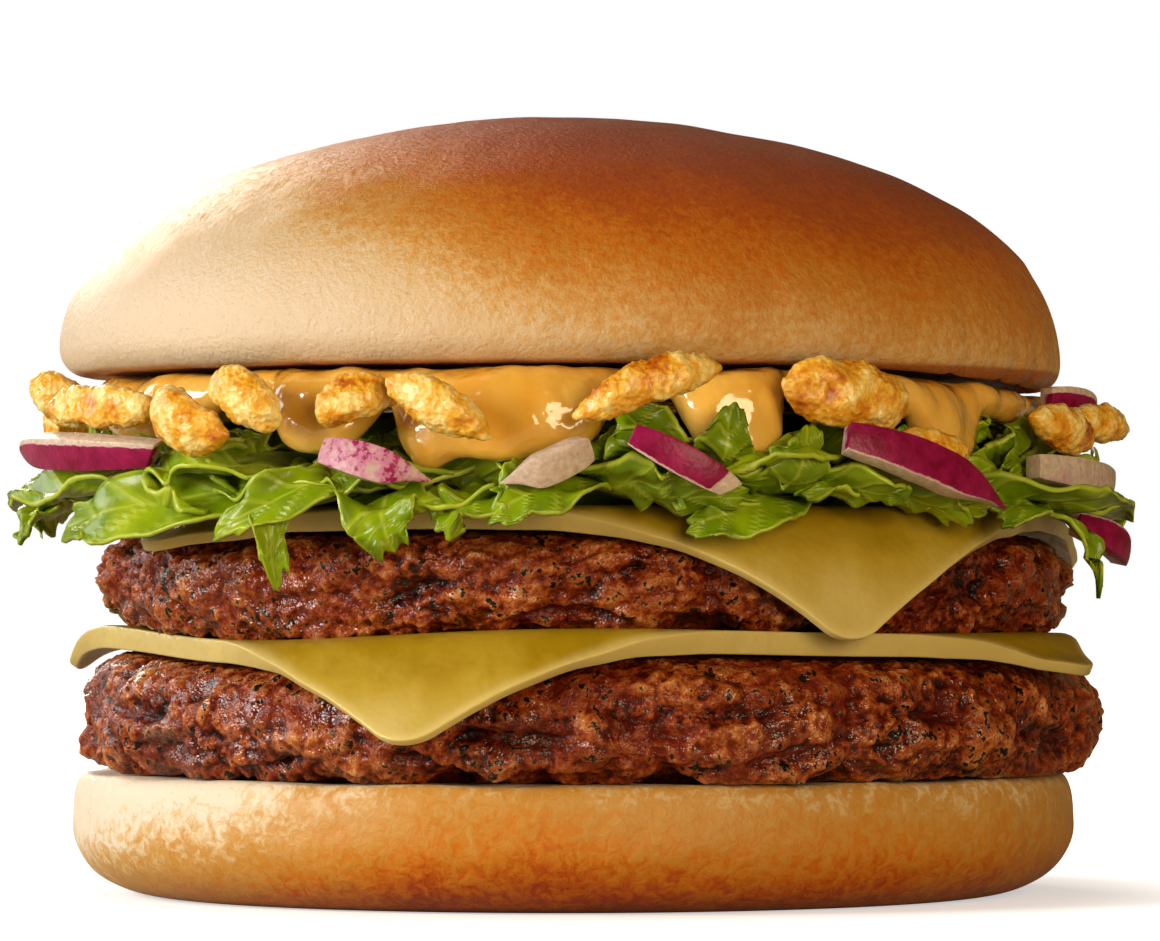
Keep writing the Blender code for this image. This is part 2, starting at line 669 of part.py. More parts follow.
def make_lettuce(skin, neighbours):
    """The core and its leaves, joined by one union. A leaf that can't clear its neighbours is left out."""
    lettuce = finish(lettuce_core(), "lettuce", skin, smooth=False)
    heap = bpy.data.collections.new("lettuce_leaves")
    bpy.context.scene.collection.children.link(heap)
    sizes = [(leaf, (5, 2)) for leaf in LEAVES]
    sizes += [(leaf, (4, 2)) for leaf in leaves_behind()]
    sizes += [(leaf, (3, 1)) for leaf in shreds()]
    for number, (leaf, cells) in enumerate(sizes):
        bm = fitted(leaf, cells, neighbours)
        if bm is None:
            continue
        made = finish(bm, f"leaf_{number}", skin, smooth=False)
        bpy.context.scene.collection.objects.unlink(made)
        heap.objects.link(made)
    union = lettuce.modifiers.new("join_leaves", "BOOLEAN")
    union.operation = "UNION"
    union.operand_type = "COLLECTION"
    union.collection = heap
    union.solver = "EXACT"
    bpy.context.view_layer.update()
    joined = bpy.data.meshes.new_from_object(
        lettuce.evaluated_get(bpy.context.evaluated_depsgraph_get())
    )
    lettuce.modifiers.remove(union)
    lettuce.data = joined
    keep_outer_skin(joined)
    for leaf in list(heap.objects):
        bpy.data.objects.remove(leaf)
    bpy.data.collections.remove(heap)
    return lettuce


def main():
    for item in list(bpy.data.objects):
        bpy.data.objects.remove(item)

    crust = material("baked_crust", (0.55, 0.22, 0.05), 0.42)
    beef = material("seared_beef", (0.17, 0.045, 0.018), 0.38)
    cheese = material("melted_cheese", (0.62, 0.40, 0.08), 0.3)
    leaf = material("lettuce_leaf", (0.17, 0.27, 0.02), 0.4)
    red_onion = material("red_onion", (0.34, 0.02, 0.10), 0.35)
    batter = material("fried_onion_batter", (0.70, 0.32, 0.06), 0.55)
    dressing = material("burger_sauce", (0.80, 0.40, 0.10), 0.2)

    make_heel(crust)
    lower = Vector((PATTY_LOWER_SHIFT, 0, CHEESE_LOWER_Z))
    upper = Vector((PATTY_UPPER_SHIFT, 0, CHEESE_UPPER_Z))
    patties = [
        make_patty(
            "patty_lower",
            beef,
            PATTY_LOWER_RADIUS,
            PATTY_LOWER_THICK,
            PATTY_LOWER_Z,
            PATTY_LOWER_SHIFT,
            0.45,
            1,
        ),
        make_patty(
            "patty_upper",
            beef,
            PATTY_UPPER_RADIUS,
            PATTY_UPPER_THICK,
            PATTY_UPPER_Z,
            PATTY_UPPER_SHIFT,
            0.64,
            2,
        ),
    ]
    lower_slid, upper_slid = place(-13, 10.0 * MM, 0), place(34, 9.7 * MM, 0)
    lower_lie = Slice(lower, PATTY_LOWER_RADIUS, -19, lower_slid, (60, 22, 50, 62))
    upper_lie = Slice(upper, PATTY_UPPER_RADIUS, 28, upper_slid, (76, 36, 48, 20))
    slices = [
        make_cheese("cheese_lower", cheese, lower_lie),
        make_cheese("cheese_upper", cheese, upper_lie),
    ]

    crisps = list(FRIED_ONIONS)
    crisps += pieces_behind(FRIED_ONIONS_BEHIND, 48.4, 49.6, 4.4, 3.4, 90, 20)
    petals = list(RED_ONIONS)
    petals += pieces_behind(RED_ONIONS_BEHIND, 43.6, 44.4, 3.2, 2.4, 90, 60)
    toppings = [
        make_crisp(f"fried_onion_{number:02d}", batter, piece)
        for number, piece in enumerate(crisps, 1)
    ]
    toppings += [
        make_petal(f"red_onion_{number:02d}", red_onion, piece)
        for number, piece in enumerate(petals, 1)
    ]
    sauce = make_sauce(dressing)
    crown = make_crown(crust)
    make_lettuce(leaf, tree_of([*patties, *slices, *toppings, sauce, crown]))


main()
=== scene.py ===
"""Looks of the double cheeseburger: crust, craggy beef, melted cheese, leaves, onions and sauce."""

import math
import random
from typing import NamedTuple

import bmesh
import bpy
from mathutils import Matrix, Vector, noise
from mathutils.bvhtree import BVHTree


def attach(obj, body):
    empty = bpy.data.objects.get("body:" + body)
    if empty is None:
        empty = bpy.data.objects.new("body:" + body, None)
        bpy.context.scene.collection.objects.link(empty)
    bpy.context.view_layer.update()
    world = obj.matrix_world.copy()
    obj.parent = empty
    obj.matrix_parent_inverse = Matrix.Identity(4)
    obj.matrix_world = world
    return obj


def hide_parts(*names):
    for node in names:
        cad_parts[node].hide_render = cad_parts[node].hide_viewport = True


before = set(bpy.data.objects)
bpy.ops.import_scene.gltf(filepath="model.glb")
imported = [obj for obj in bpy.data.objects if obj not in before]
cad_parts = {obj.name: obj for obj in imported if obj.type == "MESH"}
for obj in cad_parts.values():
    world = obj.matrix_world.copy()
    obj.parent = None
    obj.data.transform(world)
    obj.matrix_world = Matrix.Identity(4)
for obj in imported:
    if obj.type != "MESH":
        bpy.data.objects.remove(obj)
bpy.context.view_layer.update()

MM = 0.001

# Sizes that the solids were made with.
BUN_RADIUS = 52.3 * MM
HEEL_THICK = 12.6 * MM
HEEL_FOOT_RADIUS = 43.0 * MM
HEEL_RIM_RADIUS = 50.4 * MM
HEEL_WIDEST = 7.2 * MM
CROWN_Z = 53.6 * MM
CROWN_DOME = 24.0 * MM
CROWN_LIP = 2.9 * MM
CROWN_FLOOR_RADIUS = 49.4 * MM
CROWN_SHIFT = -1.1 * MM
CROWN_SAG = 1.6 * MM
CROWN_SAG_ANGLE = 88
CROWN_SAG_SPREAD = 65
PATTY_EDGE = 5.0 * MM
CHEESE_SIDE = 84.5 * MM
CHEESE_MELT = 0.7
CHEESE_THICK = 1.8 * MM
CHEESE_BEND = 5.0 * MM
CHEESE_CLEAR = 2.1 * MM
LETTUCE_Z = 39.6 * MM
LETTUCE_RADIUS = 47.0 * MM
SAUCE_TOP_Z = 53.3 * MM
SAUCE_THICK = 3.0 * MM
SAUCE_RADIUS = 47.0 * MM


class Patty(NamedTuple):
    """One beef patty."""

    node: str
    radius: float
    low: float
    thick: float
    shift: float
    widest_share: float
    seed: int


LOWER_PATTY = Patty("patty_lower", 53.2 * MM, 12.9 * MM, 11.8 * MM, 2.2 * MM, 0.45, 1)
UPPER_PATTY = Patty("patty_upper", 50.2 * MM, 27.1 * MM, 10.1 * MM, 1.0 * MM, 0.64, 2)


class Slice(NamedTuple):
    """A cheese slice over its patty. Its corners are 90 degrees apart, from the heading on."""

    node: str
    patty: Vector
    edge: float
    heading: float
    slid: Vector
    hang: tuple


class Piece(NamedTuple):
    """A strip that follows three stops, each (degrees to the right of the front, radius, height)."""

    way: tuple
    width: float
    roll: tuple
    ruffle: float = 0.0
    seed: int = 0


class Petal(NamedTuple):
    """A red onion crescent, and how its purple skin lies on it."""

    piece: Piece
    thick: float
    margin: float = 0.0  # share of its width left white, at the top or, below 0, at the bottom
    paleness: float = 0.0
    bare_end: float = 0.0  # share of its length left white at the end
    points: tuple = (0.0, 0.0)  # how far its two ends are drawn to a point, from 0 to 1


class Drip(NamedTuple):
    """A tongue of sauce that runs over the rim."""

    angle: float
    spread: float
    reach: float
    drop: float


def smoothstep(low, high, value):
    """Rises smoothly from 0 at low to 1 at high."""
    share = min(1.0, max(0.0, (value - low) / (high - low)))
    return share * share * (3 - 2 * share)


def hump(offset, half_width):
    """1 at no offset, falling smoothly to 0 at half_width."""
    return 1 - smoothstep(0, half_width, abs(offset))


def turn_between(angle, centre):
    """The signed difference of two angles in degrees, from -180 to 180."""
    return (angle - centre + 180) % 360 - 180


def place(angle, radius, height):
    """The point at an angle in degrees to the right of the front."""
    turn = math.radians(angle)
    return Vector((radius * math.sin(turn), -radius * math.cos(turn), height))


def polar(point):
    """The angle in degrees to the right of the front, and the radius."""
    return math.degrees(math.atan2(point.x, -point.y)), math.hypot(point.x, point.y)


LOWER_SLICE = Slice(
    "cheese_lower",
    Vector((2.2 * MM, 0, 25.0 * MM)),
    LOWER_PATTY.radius,
    -19,
    place(-13, 10.0 * MM, 0),
    (60, 22, 50, 62),
)
UPPER_SLICE = Slice(
    "cheese_upper",
    Vector((1.0 * MM, 0, 37.5 * MM)),
    UPPER_PATTY.radius,
    28,
    place(34, 9.7 * MM, 0),
    (76, 36, 48, 20),
)


def layer_wave(point):
    """How far the soft layers between the bun halves lie above or below level at a point."""
    angle, radius = polar(point)
    within = smoothstep(HEEL_THICK, LOWER_SLICE.patty.z - 0.3 * MM, point.z)
    within *= 1 - smoothstep(UPPER_PATTY.low, UPPER_SLICE.patty.z, point.z)
    turn = math.radians(angle)
    wave = math.sin(3 * turn + 0.7) + 0.6 * math.sin(5 * turn + 2.0)
    return 0.45 * MM * wave * within * smoothstep(20 * MM, 50 * MM, radius)


# Node materials


def srgb(red, green, blue):
    """A colour given as 0 to 255 on screen, as the linear value that a shader takes."""
    linear = []
    for value in (red, green, blue):
        value /= 255
        linear.append(value / 12.92 if value <= 0.04045 else ((value + 0.055) / 1.055) ** 2.4)
    return (*linear, 1.0)


class Finish:
    """A node material for one finish of the burger."""

    def __init__(self, name):
        self.material = bpy.data.materials.new(name)
        self.material.use_nodes = True
        self.tree = self.material.node_tree
        self.shader = self.tree.nodes["Principled BSDF"]
        self.place = self.add("ShaderNodeTexCoord").outputs["Object"]

    def add(self, kind, inputs=None, **settings):
        made = self.tree.nodes.new(kind)
        for name, value in settings.items():
            setattr(made, name, value)
        for name, value in (inputs or {}).items():
            self.feed(made.inputs[name], value)
        return made

    def feed(self, socket, value):
        if isinstance(value, bpy.types.NodeSocket):
            self.tree.links.new(value, socket)
        else:
            socket.default_value = value

    def set(self, **values):
        for name, value in values.items():
            self.feed(self.shader.inputs[name.replace("_", " ")], value)

    def measure(self, name):
        """A number that the mesh carries at each point."""
        return self.add("ShaderNodeAttribute", attribute_name=name).outputs["Fac"]

    def grain(self, size_mm, detail=3.0, rough=0.55, distort=0.0):
        """Noise whose blobs are about size_mm across."""
        return self.add(
            "ShaderNodeTexNoise",
            {
                "Vector": self.place,
                "Scale": 1000 / size_mm,
                "Detail": detail,
                "Roughness": rough,
                "Distortion": distort,
            },
        ).outputs["Fac"]

    def cells(self, size_mm):
        """Distance to the nearest of points about size_mm apart, from 0 to about 1."""
        return self.add(
            "ShaderNodeTexVoronoi", {"Vector": self.place, "Scale": 1000 / size_mm}
        ).outputs["Distance"]

    def span(self, value, low, high, to_low=0.0, to_high=1.0, how="SMOOTHSTEP"):
        """Maps low to high onto another span, held at its ends."""
        return self.add(
            "ShaderNodeMapRange",
            {
                "Value": value,
                "From Min": low,
                "From Max": high,
                "To Min": to_low,
                "To Max": to_high,
            },
            interpolation_type=how,
        ).outputs["Result"]

    def math(self, operation, first, second):
        made = self.add("ShaderNodeMath", operation=operation)
        self.feed(made.inputs[0], first)
        self.feed(made.inputs[1], second)
        return made.outputs[0]

    def total(self, first, *others):
        """The sum of several numbers."""
        for other in others:
            first = self.math("ADD", first, other)
        return first

    def swing(self, pattern, amount):
        """A noise pattern as a number from -amount to amount."""
        return self.span(pattern, 0.3, 0.7, -amount, amount)

    def blend(self, share, first, second):
        """The first colour where share is 0 and the second where it is 1."""
        made = self.add("ShaderNodeMix", data_type="RGBA")
        self.feed(made.inputs["Factor"], share)
        self.feed(made.inputs[6], first)
        self.feed(made.inputs[7], second)
        return made.outputs[2]

    def ramp(self, value, *stops):
        """Colours at (position, (red, green, blue)) stops, as 0 to 255 on screen."""
        made = self.add("ShaderNodeValToRGB", {"Fac": value})
        elements = made.color_ramp.elements
        while len(elements) < len(stops):
            elements.new(0.5)
        for element, (position, colour) in zip(elements, stops):
            element.position = position
            element.color = srgb(*colour)
        return made.outputs["Color"]

    def bump(self, height, depth_mm, under=None):
        """Fine relief, over the relief that under already gives."""
        made = self.add(
            "ShaderNodeBump", {"Height": height, "Distance": depth_mm * MM, "Strength": 1.0}
        )
        if under is not None:
            self.feed(made.inputs["Normal"], under)
        return made.outputs["Normal"]

    def flesh(self, weight, depth_mm, *reach):
        """Lets light sink in by about depth_mm, with its reach in red, green and blue."""
        self.set(Subsurface_Weight=weight, Subsurface_Scale=depth_mm * MM, Subsurface_Radius=reach)

    def crust(self, colour, sheen):
        """The colour and the dull shine of a bun half."""
        self.set(Base_Color=colour, Specular_IOR_Level=0.3)
        self.set(Sheen_Weight=sheen, Sheen_Roughness=0.45, Sheen_Tint=(1.0, 0.93, 0.82, 1.0))
        self.flesh(0.05, 1.2, 1.0, 0.5, 0.2)

    def height_and_painted_side_light(self, left, right):
        """The height in millimetres, and what to add to it as painted light and shade on its left and
        right sides.

        Left and right are spans as (start, end, added at the start, added at the end), in mm.
        """
        spot = self.add("ShaderNodeSeparateXYZ", {"Vector": self.place})
        across = self.math("MULTIPLY", spot.outputs["X"], 1000.0)
        left = self.span(across, *left, how="LINEAR")
        right = self.span(across, *right, how="LINEAR")
        return self.math("MULTIPLY", spot.outputs["Z"], 1000.0), self.total(left, right)


def crown_finish():
    """Brown dome that pales towards its lip, with fine pores, a thin browned line at the edge, painted
    light on its left side and painted shade on its right.
    """
    made = Finish("crown_crust")
    # The tilt is painted light and shade: up to 17 mm less browning on the left, where the key light
    # falls, and up to 2.9 mm more on the shaded right.
    height, tilt = made.height_and_painted_side_light((-37, 3, -17.0, 0.6), (3, 50, 0.0, 2.9))
    patches = made.swing(made.grain(16, 3.0), 1.4)
    mottle = made.swing(made.grain(1.0, 4.0, 0.7), 2.6)
    browning_and_painted_light = made.total(height, tilt, patches, mottle)
    browning_and_painted_light = made.span(browning_and_painted_light, 46.0, 80.0, how="LINEAR")
    crust = made.ramp(
        browning_and_painted_light,
        (0.0, (212, 190, 160)),
        (0.24, (212, 180, 134)),
        (0.34, (206, 158, 90)),
        (0.46, (196, 130, 48)),
        (0.58, (194, 110, 18)),
        (0.70, (180, 84, 4)),
        (0.86, (162, 64, 0)),
        (1.0, (150, 54, 0)),
    )
    edge = made.span(height, 53.6, 54.1, 0.85, 0.0)
    crust = made.blend(edge, crust, srgb(158, 76, 14))
    pores = made.span(made.cells(0.9), 0.05, 0.22, 0.2, 0.0)
    crust = made.blend(pores, crust, srgb(110, 46, 4))
    made.crust(crust, 0.05)
    made.set(Roughness=made.span(made.grain(1.2, 4.0), 0.3, 0.7, 0.3, 0.46))
    relief = made.bump(made.grain(0.6, 4.0, 0.65), 0.24)
    made.set(Normal=made.bump(made.grain(4.5, 3.0), 0.25, relief))
    return made.material


def heel_finish():
    """Floury cut edge, pale side and a browned network towards the foot, with painted light on the far
    left and the right, and painted shade on the top in the middle.
    """
    made = Finish("heel_crust")
    # The tilt is painted light: up to 11 mm nearer the pale top on the far left, where the key light
    # falls, and up to 2.2 mm on the right.
    height, tilt = made.height_and_painted_side_light((-48, -14, 11.0, 0.0), (0, 50, 0.0, 2.2))
    patches = made.swing(made.grain(9, 3.0), 1.2)
    web = made.grain(1.3, 4.0, 0.7, distort=0.6)
    browning_and_painted_light = made.total(height, tilt, patches, made.span(web, 0.32, 0.68, -2.6, 2.6))
    # Heights run to 18 mm, so the palest stops are reached only where the painted light lifts them,
    # and the top in the middle stays darker as painted shade under the patty.
    browning_and_painted_light = made.span(browning_and_painted_light, 0.0, 18.0, how="LINEAR")
    crust = made.ramp(
        browning_and_painted_light,
        (0.0, (160, 58, 0)),
        (0.155, (186, 88, 2)),
        (0.33, (198, 118, 18)),
        (0.53, (196, 136, 50)),
        (0.72, (198, 148, 74)),
        (0.89, (216, 188, 142)),
        (1.0, (226, 210, 186)),
    )
    made.crust(crust, 0.08)
    made.set(Roughness=made.span(web, 0.3, 0.7, 0.42, 0.6))
    made.set(Normal=made.bump(made.grain(4.0, 3.0), 0.3, made.bump(web, 0.16)))
    return made.material


def beef_finish():
    """Seared mince: wet red-brown crumbs, black char in spots, painted shade in the clefts, painted
    light on the raised crumbs, and glinting fat.
    """
    made = Finish("seared_beef")
    painted_shade = made.measure("crag_painted_shade")
    shade = made.total(painted_shade, made.swing(made.grain(1.0, 4.0, 0.65), 0.3))
    # The ramp runs from painted shade in clefts and gullies to painted light on raised crumbs, with
    # random tone over it.
    meat = made.ramp(
        shade,
        (0.0, (26, 2, 0)),
        (0.24, (80, 16, 1)),
        (0.46, (128, 47, 9)),
        (0.72, (172, 90, 38)),
        (1.0, (208, 142, 84)),
    )
    reddish = made.span(made.grain(7, 2.0), 0.42, 0.66)
    meat = made.blend(made.math("MULTIPLY", reddish, 0.5), meat, srgb(116, 30, 4))
    clusters = made.swing(made.grain(6, 2.0, distort=0.5), 0.07)
    raised = made.span(painted_shade, 0.3, 0.8, -0.02, 0.03)
    char = made.total(made.grain(1.0, 3.0, 0.6), clusters, raised)
    meat = made.blend(made.span(char, 0.575, 0.66), meat, srgb(16, 3, 0))
    made.set(Base_Color=meat, Specular_IOR_Level=0.15)
    wet = made.span(made.grain(5, 3.0), 0.4, 0.62)
    made.set(Roughness=made.span(wet, 0.0, 1.0, 0.5, 0.3))
    made.set(Coat_Weight=made.span(wet, 0.0, 1.0, 0.25, 0.9), Coat_Roughness=0.07)
    relief = made.bump(made.grain(0.6, 2.0, 0.6), 0.16)
    relief = made.bump(made.grain(1.6, 3.0, 0.6), 0.7, relief)
    made.set(Normal=relief, Coat_Normal=relief)
    return made.material


def cheese_finish():
    """Olive yellow processed cheese with painted shade where it lies flat under the next layer, paler
    down its hanging corners, a painted highlight along its edges and a wet sheen.
    """
    made = Finish("melted_cheese")
    hang_shade = made.total(made.measure("hang_shade"), made.swing(made.grain(8, 3.0), 0.16))
    # Painted shade: darkest where the slice lies flat under the layers above, lighter as it hangs
    # down.
    body = made.ramp(
        hang_shade,
        (0.0, (156, 124, 4)),
        (0.3, (180, 150, 40)),
        (0.7, (196, 170, 82)),
        (1.0, (204, 180, 102)),
    )
    # Painted highlight: a paler band along the slice's edges.
    body = made.blend(made.math("MULTIPLY", made.measure("rim"), 0.5), body, srgb(226, 208, 138))
    made.set(Base_Color=body, Roughness=0.46, Specular_IOR_Level=0.25)
    made.flesh(0.3, 2.0, 1.0, 0.75, 0.2)
    made.set(Coat_Weight=0.28, Coat_Roughness=0.1, Coat_Normal=made.bump(made.grain(3, 2.0), 0.25))
    ripple = made.bump(made.grain(1.2, 3.0), 0.05)
    made.set(Normal=made.bump(made.grain(5, 3.0), 0.4, ripple))
    return made.material


def leaf_finish():
    """Lettuce with paler ribs, veins and edges, painted shade towards the root and in the middle of
    the heap, wet and a little see-through.
    """
    made = Finish("lettuce_leaf")
    across = made.measure("across")
    painted_shade = made.measure("painted_inner_shade")
    veins = made.measure("vein")
    tint = made.span(made.measure("tint"), 0.0, 1.0, -0.2, 0.2)
    tone = made.total(made.grain(6, 3.0), tint)
    leaf = made.ramp(
        tone,
        (0.25, (78, 104, 0)),
        (0.5, (116, 144, 0)),
        (0.75, (156, 176, 10)),
    )
    rib = made.span(across, 0.0, 0.1, 0.55, 0.0)
    rim = made.span(across, 0.9, 1.0, 0.0, 0.7)
    pale = made.math("MAXIMUM", rib, rim)
    pale = made.math("MAXIMUM", pale, made.math("MULTIPLY", veins, 0.4))
    leaf = made.blend(pale, leaf, srgb(184, 200, 62))
    # Painted shade: darker towards the root end, under the layers above, and in the core.
    leaf = made.blend(made.math("MULTIPLY", painted_shade, 0.85), leaf, srgb(34, 46, 0))
    made.set(Base_Color=leaf, Roughness=0.32, Specular_IOR_Level=0.3)
    made.flesh(0.12, 0.8, 0.7, 1.0, 0.1)
    made.set(Coat_Weight=0.2, Coat_Roughness=0.12)
    relief = made.bump(made.grain(1.6, 3.0), 0.12)
    made.set(Normal=made.bump(veins, 0.2, relief))
    return made.material


def onion_finish():
    """Raw red onion: streaked purple skin over white flesh with fine fibres."""
    made = Finish("red_onion")
    skin = made.measure("skin")
    fibres = made.grain(0.7, 3.0, 0.6)
    blots = made.grain(1.8, 3.0, 0.6)
    edge = made.total(skin, made.swing(fibres, 0.14), made.swing(blots, 0.14))
    flesh = made.ramp(fibres, (0.3, (184, 158, 142)), (0.7, (222, 204, 184)))
    purple = made.ramp(blots, (0.3, (116, 0, 44)), (0.7, (154, 20, 82)))
    body = made.blend(made.span(edge, 0.18, 0.42, 0.0, 0.75), flesh, srgb(190, 100, 150))
    body = made.blend(made.span(edge, 0.42, 0.56), body, purple)
    made.set(Base_Color=body, Roughness=0.34, Specular_IOR_Level=0.25)
    made.flesh(0.15, 1.0, 1.0, 0.6, 0.7)
    made.set(Normal=made.bump(fibres, 0.08))
    return made.material


def batter_finish():
    """Crisp golden batter, with painted light on its ridges and crumbs and painted shade in its folds.
    """
    made = Finish("fried_onion_batter")
    tone = made.total(made.measure("crag_painted_shade"), made.swing(made.grain(2.6, 3.0), 0.3))
    # The ramp runs from painted shade in the folds to painted light on ridges and crumbs, with random
    # tone over it.
    body = made.ramp(
        tone,
        (0.0, (184, 92, 2)),
        (0.22, (222, 144, 18)),
        (0.48, (240, 180, 48)),
        (0.85, (250, 218, 132)),
    )
    made.set(Base_Color=body, Specular_IOR_Level=0.4)
    made.set(Roughness=made.span(made.grain(0.8, 2.0), 0.3, 0.7, 0.2, 0.5))
    made.set(Coat_Weight=0.4, Coat_Roughness=0.12)
    made.flesh(0.25, 1.0, 1.0, 0.55, 0.15)
    relief = made.bump(made.grain(0.35, 3.0, 0.6), 0.14)
    made.set(Normal=made.bump(made.cells(0.6), 0.2, relief))
    return made.material


def sauce_finish():
    """Glossy orange dressing with fine dark herb specks."""
    made = Finish("burger_sauce")
    tone = made.grain(7, 2.0)
    body = made.ramp(tone, (0.3, (228, 164, 50)), (0.7, (242, 194, 90)))
    specks = made.span(made.cells(2.6), 0.05, 0.1, 1.0, 0.0)
    shown = made.span(made.grain(5, 0.0), 0.55, 0.6)
    body = made.blend(made.math("MULTIPLY", specks, shown), body, srgb(84, 40, 10))
    made.set(Base_Color=body, Roughness=0.16, Specular_IOR_Level=0.5)
    made.flesh(0.25, 1.6, 1.0, 0.6, 0.2)
    made.set(Coat_Weight=1.0, Coat_Roughness=0.03)
    ripple = made.bump(made.grain(5, 2.0), 0.5)
    ripple = made.bump(made.grain(2.2, 2.0), 0.2, ripple)
    made.set(Normal=ripple, Coat_Normal=ripple)
    return made.material


# Mesh helpers


def finish(bm, name, skin, nodes):
    """Turns a bmesh into a piece that stands for its nodes."""
    mesh = bpy.data.meshes.new(name)
    bm.to_mesh(mesh)
    bm.free()
    mesh.materials.append(skin)
    mesh.shade_smooth()
    made = bpy.data.objects.new(name, mesh)
    bpy.context.scene.collection.objects.link(made)
    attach(made, "root")
    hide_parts(*nodes)
    return made


def facing_out(bm):
    """Makes a closed bmesh's faces point outwards."""
    bmesh.ops.recalc_face_normals(bm, faces=bm.faces)
    if bm.calc_volume(signed=True) < 0:
        bmesh.ops.reverse_faces(bm, faces=bm.faces)


def joined(bmeshes):
    """Several bmeshes as one, with their point measures kept."""
    whole = bmesh.new()
    for bm in bmeshes:
        part = bpy.data.meshes.new("part")
        bm.to_mesh(part)
        bm.free()
        whole.from_mesh(part)
        bpy.data.meshes.remove(part)
    return whole


def sheet(measures, long_cells, wide_cells):
    """A closed flat sheet from -1 to 1, as bmesh, lower points, upper points and measures."""
    bm = bmesh.new()
    for name in measures:
        bm.verts.layers.float.new(name)
    bmesh.ops.create_grid(bm, x_segments=long_cells, y_segments=wide_cells, size=1)
    lower = list(bm.verts)
    made = bmesh.ops.extrude_face_region(bm, geom=list(bm.faces))
    upper = [item for item in made["geom"] if isinstance(item, bmesh.types.BMVert)]
    return bm, lower, upper, [bm.verts.layers.float[name] for name in measures]


def push(bm, moves):
    """Moves each point of a bmesh by its own move."""
    for vert, move in zip(bm.verts, moves):
        vert.co += move


def smoothed(bm, times):
    """Evens out a bmesh that many times."""
    for _ in range(times):
        bmesh.ops.smooth_vert(
            bm, verts=bm.verts, factor=0.5, use_axis_x=True, use_axis_y=True, use_axis_z=True
        )


def soften_edges(piece, width, segments, angle):
    """Rounds the edges of a piece that are sharper than an angle in degrees."""
    edge = piece.modifiers.new("soft_edge", "BEVEL")
    edge.width = width
    edge.segments = segments
    edge.limit_method = "ANGLE"
    edge.angle_limit = math.radians(angle)
    return piece


def arc(centre, size, start, end, count, power=2.0):
    """Points on a superellipse in the (radius, height) plane, from one angle in degrees to another."""
    points = []
    for step in range(count):
        turn = math.radians(start + (end - start) * step / (count - 1))
        across, up = math.cos(turn), math.sin(turn)
        points.append(
            (
                centre[0] + size[0] * math.copysign(abs(across) ** (2 / power), across),
                centre[1] + size[1] * math.copysign(abs(up) ** (2 / power), up),
            )
        )
    return points


def even(points, gap):
    """The same outline with points about gap apart."""
    spaced = [points[0]]
    for start, end in zip(points, points[1:]):
        count = max(1, round(math.dist(start, end) / gap))
        for step in range(1, count + 1):
            share = step / count
            spaced.append(tuple(a + (b - a) * share for a, b in zip(start, end)))
    return spaced


def turned(profile, steps):
    """A bmesh of the profile of (radius, height) points, spun round the Z axis."""
    bm = bmesh.new()
    verts = [bm.verts.new((radius, 0, height)) for radius, height in profile]
    edges = [bm.edges.new(ends) for ends in zip(verts, verts[1:])]
    bmesh.ops.spin(
        bm,
        geom=verts + edges,
        cent=(0, 0, 0),
        axis=(0, 0, 1),
        angle=math.tau,
        steps=steps,
        use_merge=True,
    )
    bmesh.ops.remove_doubles(bm, verts=bm.verts, dist=0.001 * MM)
    facing_out(bm)
    bm.normal_update()
    return bm


# Bun


def crown_sag(angle):
    """How far the crown's lip sags in a direction."""
    return CROWN_SAG * hump(turn_between(angle, CROWN_SAG_ANGLE), CROWN_SAG_SPREAD)


def make_crown():
    """The dome, with soft dents and creases where its lip sags."""
    widest = CROWN_Z + CROWN_LIP
    lip = BUN_RADIUS - CROWN_FLOOR_RADIUS
    profile = [(0, CROWN_Z), (CROWN_FLOOR_RADIUS - 8 * MM, CROWN_Z)]
    profile += even([profile[-1], (CROWN_FLOOR_RADIUS - 0.5 * MM, CROWN_Z)], 1.5 * MM)[1:]
    profile += arc((CROWN_FLOOR_RADIUS, widest), (lip, CROWN_LIP), -90, 0, 12)
    profile += arc((0, widest), (BUN_RADIUS, CROWN_DOME), 1.2, 90, 70)
    profile[-1] = (0, widest + CROWN_DOME)
    bm = turned(profile, 300)
    moves = []
    for vert in bm.verts:
        angle, radius = polar(vert.co)
        turn = math.radians(angle)
        rise = smoothstep(CROWN_Z, widest, vert.co.z)
        swell = 1 + rise * (0.004 * math.cos(2 * turn + 1.2) + 0.003 * math.cos(3 * turn))
        edge = smoothstep(CROWN_FLOOR_RADIUS - 1.1 * MM, CROWN_FLOOR_RADIUS, radius)
        low = 1 - smoothstep(widest, widest + 0.5 * CROWN_DOME, vert.co.z)
        sag = crown_sag(angle)
        move = Vector((vert.co.x * (swell - 1) + CROWN_SHIFT, vert.co.y * (swell - 1), 0))
        move.z -= sag * edge * low
        dent = noise.noise(vert.co / (14 * MM)) * 0.28 * rise
        dent += noise.noise(vert.co / (5 * MM)) * 0.10 * rise
        crease = noise.noise(Vector((turn * 16, vert.co.z / (9 * MM), 3)))
        creased = 0.25 + 0.75 * sag / CROWN_SAG
        dent -= 0.5 * smoothstep(0.05, 0.45, crease) * low * edge * creased
        moves.append(move + vert.normal * dent * MM)
    push(bm, moves)
    return finish(bm, "crown", crown_finish(), ["bun_crown"])


